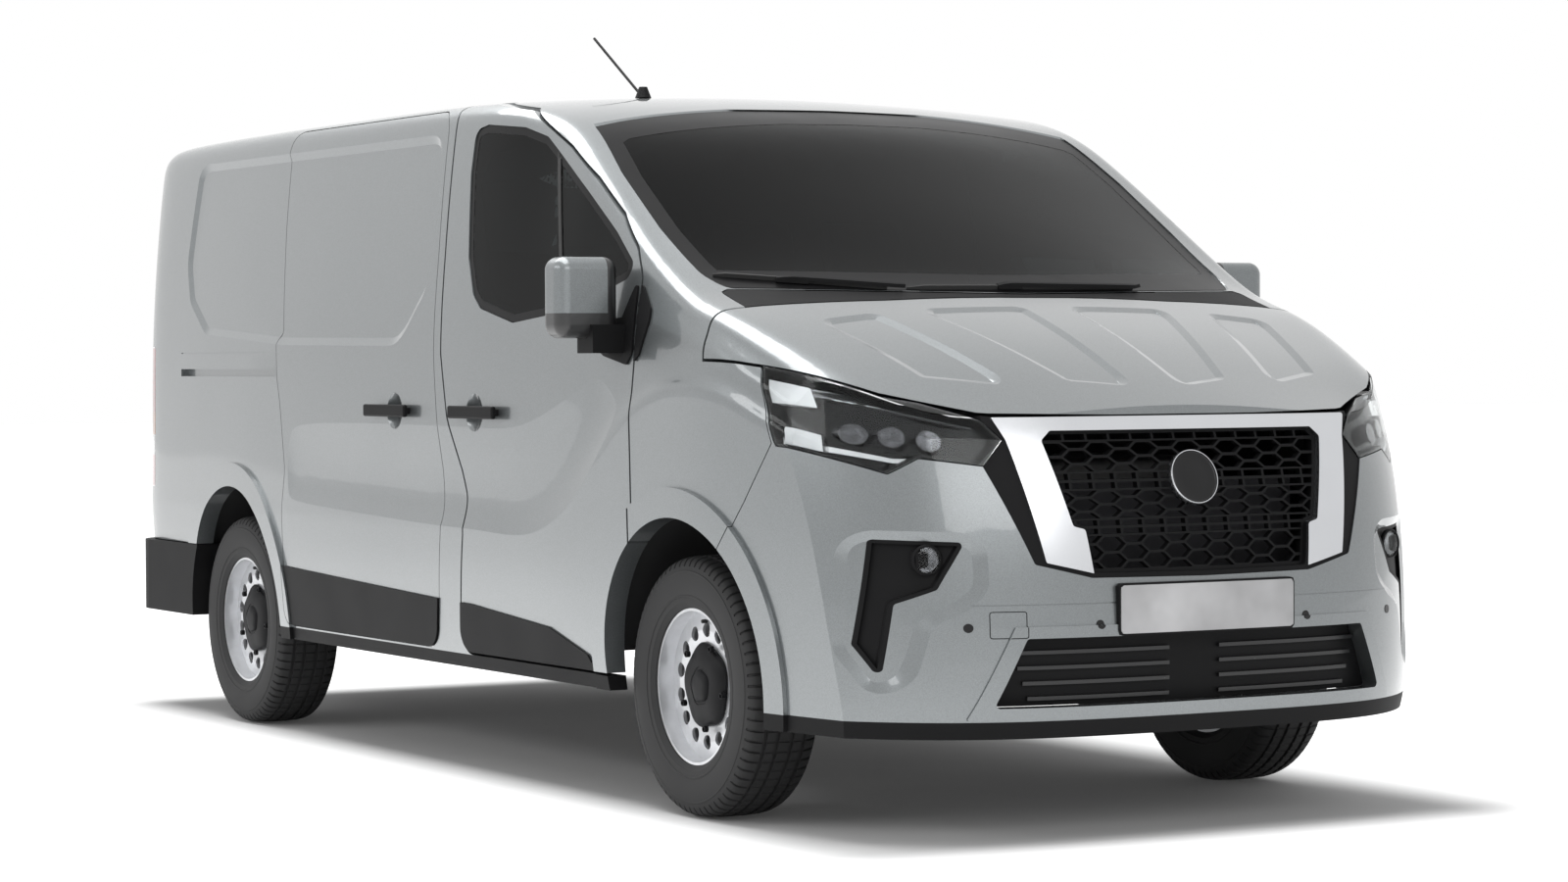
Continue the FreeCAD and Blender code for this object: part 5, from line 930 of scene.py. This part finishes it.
def mirrors():
    for side, sign in SIDES.items():
        body = "front_door_%s" % side
        middle, width, height = MIRROR_GLASS
        outline = rectangle((sign * middle[0], middle[1]), width, height, MIRROR_CORNER)
        glass = patch(resampled(outline, MIDDLING), caster("rear", "mirror_%s" % side), MIRROR_PROUD)
        add("mirror_glass_%s" % side, [glass], "mirror", body)
        door = resampled(rounded(FOOT_ON_DOOR, FOOT_CORNER), MIDDLING)
        door = patch(door, caster(side, body), FOOT_PROUD)
        add("mirror_foot_%s" % side, [door], "black_plastic", body)
        wing = resampled(rounded(FOOT_ON_WING, WING_CORNER), SHORT)
        wing = patch(wing, caster(side, "front_fenders"), FOOT_PROUD)
        add("wing_corner_%s" % side, [wing], "black_plastic")


# Wheels: tyre with tread, black lobed cap with its bolts, valve and brake disc. Turned profiles give places
# outboard of the wheel's centre, and radii or their shares.
PITCHES = 72
PITCH_SHARES = (0.0, 0.06, 0.21, 0.27, 0.60)
GROOVED_SHARES = (0.06, 0.21)
TREAD_DEPTH = 0.007
SIPE_DEPTH = 0.003
RIB_EDGE = 0.079
GROOVES = (0.021, 0.056)
GROOVE_HALF = 0.0045
CAP_LOBES = 5
CAP_SWELL = 0.045
CAP_RADIUS = 0.106
CAP_STEPS = 120
CAP = (
    (0.046, 1.02), (0.054, 1.03), (0.058, 1.0), (0.064, 0.90), (0.069, 0.72), (0.071, 0.54), (0.0715, 0.47),
    (0.0695, 0.45), (0.0695, 0.40), (0.0735, 0.385), (0.0765, 0.34), (0.078, 0.2), (0.078, 0.02),
)
BOLT_CIRCLE_SHARE = 0.74
BOLT_STEPS = 24
BOLT = ((0.060, 0.0085), (0.0705, 0.0085), (0.0715, 0.0075), (0.0715, 0.0055), (0.066, 0.005))
VALVE_RADIUS_OUT = 0.168
VALVE_STEPS = 20
VALVE = ((0.028, 0.0045), (0.050, 0.004), (0.052, 0.0052), (0.063, 0.0052), (0.065, 0.004))
DISC_STEPS = 72
DISC = (
    (-0.012, 0.075), (-0.012, 0.149), (0.012, 0.149), (0.012, 0.082), (0.030, 0.078), (0.030, 0.070),
    (0.006, 0.070),
)

# Tyre section from the bead outward: shares of half the width with radii, then the shoulder with cross cuts
SIDEWALL = (
    (0.66, 0.2035), (0.86, 0.2045), (0.90, 0.209), (0.93, 0.2155), (0.955, 0.218), (0.965, 0.232),
    (0.985, 0.2335), (0.985, 0.237), (0.975, 0.2385), (0.992, 0.252), (1.0, 0.270), (0.994, 0.290),
    (0.985, 0.297), (0.992, 0.298), (0.99, 0.301), (0.975, 0.302), (0.955, 0.312),
)
SHOULDER = ((0.925, 0.3195), (0.885, 0.3265))
SHOULDER_TOP = 0.83
SHOULDER_DROP = 0.0085
RIB_DROP = 0.0045
CROWN_DROP = 0.0035
GROOVE_LIP = 1.3


def tyre_profile(radius, half):
    """Places across the tyre, radii and how deep the cross cuts are, from bead to bead over the tread."""
    outer = [(half * share, high, 0) for share, high in SIDEWALL]
    outer += [(half * share, high, TREAD_DEPTH) for share, high in SHOULDER]
    outer.append((half * SHOULDER_TOP, radius - SHOULDER_DROP, TREAD_DEPTH))
    outer.append((RIB_EDGE, radius - RIB_DROP, TREAD_DEPTH))
    for place in reversed(GROOVES):
        crown = radius - CROWN_DROP * (place / RIB_EDGE) ** 2
        lip = GROOVE_HALF * GROOVE_LIP
        outer += [(place + lip, crown, SIPE_DEPTH), (place + GROOVE_HALF, crown - TREAD_DEPTH, 0)]
        outer += [(place - GROOVE_HALF, crown - TREAD_DEPTH, 0), (place - lip, crown, SIPE_DEPTH)]
    inner = [(-place, high, cut) for place, high, cut in reversed(outer)]
    return outer + inner


def tyre_form(centre, radius, half):
    """A ring of the tyre's section at each turn, with the cross cuts let in at every pitch."""
    section = tyre_profile(radius, half)
    loops = []
    for pitch in range(PITCHES):
        for share in PITCH_SHARES:
            angle = math.tau * (pitch + share) / PITCHES
            cut = share in GROOVED_SHARES
            out = Vector((0.0, math.cos(angle), math.sin(angle)))
            loops.append([
                centre + Vector((place, 0.0, 0.0)) + out * (high - (depth if cut else 0.0))
                for place, high, depth in section
            ])
    return lofted(loops, closed=True)


def cap_swell(angle):
    return 1.0 + CAP_SWELL * math.cos(CAP_LOBES * angle)


def wheel_details(end, side):
    sign = SIDES[side]
    name = "%s_%s" % (end, side)
    body = "wheel_" + name
    low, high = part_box("tyre_" + name)
    centre = (low + high) / 2
    radius, half = (high.z - low.z) / 2, (high.x - low.x) / 2
    tyre = add("tyre_tread_" + name, [tyre_form(centre, radius, half)], "tyre", body, TREAD_SHARP_DEGREES)
    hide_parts("tyre_" + name)
    outward = Vector((sign, 0.0, 0.0))
    cap = turned(scaled(CAP, CAP_RADIUS), centre, outward, CAP_STEPS, False, cap_swell)
    across = outward.orthogonal()
    up = outward.cross(across)
    bolts = []
    for number in range(CAP_LOBES):
        angle = math.tau * (number + 0.5) / CAP_LOBES
        way = across * math.cos(angle) + up * math.sin(angle)
        spot = centre + way * CAP_RADIUS * BOLT_CIRCLE_SHARE
        bolts.append(turned(BOLT, spot, outward, BOLT_STEPS))
    add("wheel_cap_" + name, [cap] + bolts, "cap_plastic", body)
    spot = centre + Vector((0.0, 0.0, VALVE_RADIUS_OUT))
    add("valve_" + name, [turned(VALVE, spot, outward, VALVE_STEPS)], "rubber", body)
    add("brake_disc_" + name, [turned(DISC, centre, outward, DISC_STEPS, True)], "cast", body)


def wheels():
    for end in ENDS:
        for side in SIDES:
            wheel_details(end, side)


# Seats, on the boxes of the model: driver on the left, double bench on the right
SEAT_FRONT = -0.805
SEAT_LENGTH = 0.48
SEAT_BASE_TOP = 0.762
CUSHION_THICK = 0.130
BACK_THICK = 0.105
BACK_HEIGHT = 0.64
LEAN = math.radians(14.0)
SEATS = {
    "driver": (0.40, 0.50, 1, (0.22, 0.78)),
    "bench": (-0.20, 0.90, 2, (0.12, 0.40, 0.5, 0.60, 0.88)),
}
SEAT_GAP = 0.01
SEAT_SINK = 0.004
CROWN_ROOM = 0.012
CUSHION_CROWN = 0.006
CUSHION_SEAMS = (0.30, 0.62)
BACK_CROWN = 0.005
BACK_SEAMS = (0.34, 0.80)
BACK_FOOT_SHARE = 0.35
HEADREST = (0.25, 0.165, 0.085)
HEADREST_RISE = 0.085
HEADREST_CROWN = 0.006
BOX_FOOT = 0.553
BOX_INSET_SHARE = 0.1
BOX_HALF_SHARE = 0.4
BOX_GAP = 0.002
BOX_CORNER = 0.012

# Cushion section: seams, and the powers that make its corners and ends round
SEAM_DEPTH = 0.006
SEAM_WIDTH = 0.018
SPLIT_WIDTH = 0.010
PILLOW_COLUMNS = 48
PILLOW_ROWS = 28
SIDE_POWER = 0.26
FACE_POWER = 0.38
END_POWER = 0.30
END_SHARE = 0.22
END_WAIST = 0.97


def dip(at, places, width):
    """How deep seams of a width at some places sink the face at another place."""
    return sum(math.exp(-((at - place) / width) ** 2) for place in places) * SEAM_DEPTH


def pillow(width, length, thick, splits, crown, seams=()):
    """A crowned closed cushion, lying flat, with splits along it and seams across it."""
    loops = []
    for row in range(PILLOW_ROWS + 1):
        share = row / PILLOW_ROWS
        inside = 0 < row < PILLOW_ROWS
        end = math.sin(math.pi * min(share, 1.0 - share, 0.5)) ** END_POWER if inside else END_SHARE
        y = length * (share - 0.5)
        loop = []
        for column in range(PILLOW_COLUMNS):
            angle = math.tau * column / PILLOW_COLUMNS
            c, s = math.cos(angle), math.sin(angle)
            waist = END_WAIST + (1.0 - END_WAIST) * end
            x = width / 2 * math.copysign(abs(c) ** SIDE_POWER, c) * waist
            z = math.copysign(abs(s) ** FACE_POWER, s) * thick / 2 * end
            if s > 0.0:
                z += crown * (1.0 - (2.0 * x / width) ** 2) * end
                z -= dip(share, seams, SEAM_WIDTH) + dip(x / width + 0.5, splits, SPLIT_WIDTH)
            loop.append(Vector((x, y, z)))
        loops.append(loop)
    return lofted(loops)


def cushion(name, form, matrix):
    made = add(name, [moved(form, matrix)], "cloth", sharp=CLOTH_SHARP_DEGREES)


def seats():
    boxes = []
    for name, (middle, width, places, splits) in SEATS.items():
        inner, thick = width - SEAT_GAP, CUSHION_THICK - CROWN_ROOM
        seat = pillow(inner, SEAT_LENGTH - SEAT_GAP, thick, splits, CUSHION_CROWN, CUSHION_SEAMS)
        height = SEAT_BASE_TOP + CUSHION_THICK / 2 - SEAT_SINK
        cushion("%s_cushion" % name, seat, Matrix.Translation((middle, SEAT_FRONT + SEAT_LENGTH / 2, height)))
        foot = SEAT_BASE_TOP + CUSHION_THICK * BACK_FOOT_SHARE
        hinge = Matrix.Translation((middle, SEAT_FRONT + SEAT_LENGTH - BACK_THICK / 2, foot))
        tilt = hinge @ Matrix.Rotation(math.pi / 2 - LEAN, 4, "X")
        back = pillow(inner, BACK_HEIGHT - SEAT_GAP, BACK_THICK - CROWN_ROOM, splits, BACK_CROWN, BACK_SEAMS)
        cushion("%s_back" % name, back, tilt @ Matrix.Translation((0.0, BACK_HEIGHT / 2, 0.0)))
        for number in range(places):
            x = width * ((number + 0.5) / places - 0.5)
            spot = tilt @ Matrix.Translation((x, BACK_HEIGHT + HEADREST_RISE, 0.0))
            cushion("%s_headrest_%d" % (name, number), pillow(*HEADREST, (), HEADREST_CROWN), spot)
        inset, half = SEAT_LENGTH * BOX_INSET_SHARE, width * BOX_HALF_SHARE
        low = (middle - half, SEAT_FRONT + inset, BOX_FOOT)
        high = (middle + half, SEAT_FRONT + SEAT_LENGTH - inset, SEAT_BASE_TOP - BOX_GAP)
        boxes.append(block(low, high, BOX_CORNER))
    frames = add("seat_boxes", boxes, "grey_plastic")
    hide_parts("seats")


# Dashboard: hood over the dials, screen and air vents, on the model's dashboard
DIALS = ((0.27, -1.255, 1.262), (0.53, -1.150, 1.335))
SCREEN = ((-0.115, -1.165, 1.222), (0.115, -1.150, 1.330))
DIALS_CORNER = 0.018
SCREEN_CORNER = 0.006
VENTS = (-0.72, -0.20, 0.205, 0.74)
VENT_HEIGHT = 1.175
VENT_SIZE = (0.13, 0.06)
VENT_CORNER = 0.018
VENT_PROUD = 0.006
VENT_RIM = 0.006
VANE_HEIGHTS = (1.162, 1.175, 1.188)
VANE_HALF = 0.055
VANE_WIDTH = 0.004
VANE_PROUD = 0.005


def cabin():
    add("instrument_hood", [block(*DIALS, DIALS_CORNER)], "grey_plastic")
    add("dash_screen", [block(*SCREEN, SCREEN_CORNER)], "gloss_black")
    meet = caster("rear", "dashboard")
    forms = []
    for x in VENTS:
        ring = resampled(rectangle((x, VENT_HEIGHT), *VENT_SIZE, VENT_CORNER), SMALL)
        forms.append(patch(ring, meet, VENT_PROUD, 0.0, shrunk(ring, VENT_RIM), 1))
        for z in VANE_HEIGHTS:
            forms.append(ribbon(((x - VANE_HALF, z), (x + VANE_HALF, z)), VANE_WIDTH, meet, VANE_PROUD))
    add("air_vents", forms, "black_plastic")


# Rear: door handle, hinges, high brake lamp and reflectors, as middles, sizes and corners
REAR_HANDLE = ((-0.075, 1.010), 0.110, 0.050)
HANDLE_CORNER = 0.016
HANDLE_PROUD = 0.004
GRIP_SHARES = (0.8, 0.36)
GRIP_CORNER = 0.008
GRIP_PROUD = 0.020
BRAKE_LAMP = ((0.0, 1.925), 0.30, 0.018, 0.007)
BRAKE_LAMP_PROUD = 0.006
HINGE_PLACE = 0.722
HINGE_HEIGHTS = (0.80, 1.42, 1.74)
HINGE_LEAF = (0.060, 0.045, 0.010)
HINGE_PROUD = 0.007
REFLECTORS = (0.760, 0.500)
REFLECTOR_SIZE = (0.10, 0.028, 0.008)
REFLECTOR_PROUD = 0.003


def rear_details():
    right = caster("rear", "rear_door_right")
    base = resampled(rectangle(*REAR_HANDLE, HANDLE_CORNER), SHORT)
    add("rear_handle_base", [patch(base, right, HANDLE_PROUD)], "black_plastic", "rear_door_right")
    middle, width, height = REAR_HANDLE
    grip = rectangle(middle, width * GRIP_SHARES[0], height * GRIP_SHARES[1], GRIP_CORNER)
    grip = patch(resampled(grip, SMALL), right, GRIP_PROUD)
    add("rear_handle_grip", [grip], "black_plastic", "rear_door_right")
    shell = caster("rear", "body_shell", "rear_door_right", "rear_door_left")
    lamp = resampled(rectangle(*BRAKE_LAMP), SHORT)
    add("high_brake_lamp", [patch(lamp, shell, BRAKE_LAMP_PROUD)], "brake_red")
    for side, sign in SIDES.items():
        door = "rear_door_" + side
        meet = caster("rear", door)
        forms = []
        for z in HINGE_HEIGHTS:
            leaf = resampled(rectangle((sign * HINGE_PLACE, z), *HINGE_LEAF), LEAST)
            forms.append(patch(leaf, meet, HINGE_PROUD))
        add("rear_hinges_" + side, forms, "paint", door)
        bumper = caster("rear", "rear_bumper")
        strip = rectangle((sign * REFLECTORS[0], REFLECTORS[1]), *REFLECTOR_SIZE)
        strip = patch(resampled(strip, SMALL), bumper, REFLECTOR_PROUD)
        add("rear_reflector_" + side, [strip], "brake_red")


def make_camera():
    azimuth, elevation, roll = CAMERA_AZIMUTH, CAMERA_ELEVATION, CAMERA_ROLL
    back = Vector((
        math.sin(azimuth) * math.cos(elevation),
        -math.cos(azimuth) * math.cos(elevation),
        math.sin(elevation),
    ))
    across = (-back).cross(Vector((0.0, 0.0, 1.0))).normalized()
    up = across.cross(-back)
    right = across * math.cos(roll) + up * math.sin(roll)
    top = up * math.cos(roll) - across * math.sin(roll)
    data = bpy.data.cameras.new("camera")
    data.lens = CAMERA_LENS
    data.sensor_width = SENSOR_WIDTH
    made = bpy.data.objects.new("camera", data)
    facing = Matrix((right, top, back)).transposed().to_4x4()
    made.matrix_world = Matrix.Translation(CAMERA_PLACE) @ facing
    bpy.context.scene.collection.objects.link(made)
    bpy.context.scene.camera = made


def seen_rays(net):
    """One for camera, glossy and transmission rays, so that metal and glass show the pale studio too."""
    paths = net.nodes.new("ShaderNodeLightPath")
    total = paths.outputs["Is Camera Ray"]
    for name in ("Is Glossy Ray", "Is Transmission Ray"):
        total = calculated(net, "MAXIMUM", total, paths.outputs[name])
    return total


def make_world():
    world = bpy.data.worlds.new("studio")
    world.use_nodes = True
    bpy.context.scene.world = world
    net = world.node_tree
    level = map_range(net, seen_rays(net), WORLD_LEVEL, 1.0)
    set_sockets(net.nodes["Background"], net, {"Color": WHITE, "Strength": level})


def beyond_footprint(net):
    """How far a floor point lies outside the van's footprint, from 0 to 1 over the fade."""
    parts = place_parts(net)
    outside = net.nodes.new("ShaderNodeCombineXYZ")
    for axis, half in zip("XY", FOOTPRINT):
        value = parts[axis]
        for operation, other in (("ABSOLUTE", 0.0), ("SUBTRACT", half), ("MAXIMUM", 0.0)):
            value = calculated(net, operation, value, other)
        net.links.new(value, outside.inputs[axis])
    far = net.nodes.new("ShaderNodeVectorMath")
    far.operation = "LENGTH"
    net.links.new(outside.outputs["Vector"], far.inputs[0])
    faded = net.nodes.new("ShaderNodeMapRange")
    faded.interpolation_type = "SMOOTHSTEP"
    faded.inputs["From Min"].default_value, faded.inputs["From Max"].default_value = FADE
    net.links.new(far.outputs["Value"], faded.inputs["Value"])
    return faded.outputs["Result"]


def make_floor():
    """Pale floor that keeps the van's shadow and runs out into the white background."""
    mesh = bpy.data.meshes.new("floor")
    shape = bmesh.new()
    bmesh.ops.create_grid(shape, x_segments=FLOOR_SQUARES, y_segments=FLOOR_SQUARES, size=FLOOR_REACH)
    bmesh.ops.translate(shape, verts=shape.verts, vec=(0.0, 0.0, -FLOOR_DROP))
    shape.to_mesh(mesh)
    shape.free()
    floor = bpy.data.objects.new("floor", mesh)
    bpy.context.scene.collection.objects.link(floor)
    made, net, surface = new_material("floor")
    uneven = noise(net, FLOOR_CLOUDS).outputs["Fac"]
    glow = map_range(net, beyond_footprint(net), FLOOR_NEAR, FLOOR_WHITE)
    set_sockets(surface, net, {
        "Base Color": ramp(net, uneven, *FLOOR_GREYS),
        "Roughness": FLOOR_ROUGHNESS,
        "Specular IOR Level": FLOOR_SPECULAR,
        "Emission Color": WHITE,
        "Emission Strength": calculated(net, "MULTIPLY", seen_rays(net), glow),
    })
    mesh.materials.append(made)


def make_lamp(name, place, size, power):
    """An area lamp towards the van. A lamp overhead has its first size across the van."""
    data = bpy.data.lights.new(name, "AREA")
    data.shape = "RECTANGLE"
    data.size, data.size_y = size
    data.energy = power
    lamp = bpy.data.objects.new(name, data)
    lamp.location = place
    way = (AIM - Vector(place)).normalized()
    overhead = abs(way.z) > abs(way.y) + abs(way.x)
    across = way.cross(Vector((0.0, 1.0, 0.0)) if overhead else Vector((0.0, 0.0, 1.0)))
    across.normalize()
    lamp.rotation_euler = Matrix((across, across.cross(way), -way)).transposed().to_euler()
    bpy.context.scene.collection.objects.link(lamp)


def make_studio():
    make_world()
    make_floor()
    for name, values in LAMPS.items():
        make_lamp(name, *values)
    bpy.context.scene.view_settings.view_transform = "Standard"


make_camera()
make_studio()
finish_nodes()
glazing()
wipers()
front_details()
fog_lamps()
lamp_strips()
mirrors()
wheels()
seats()
cabin()
rear_details()
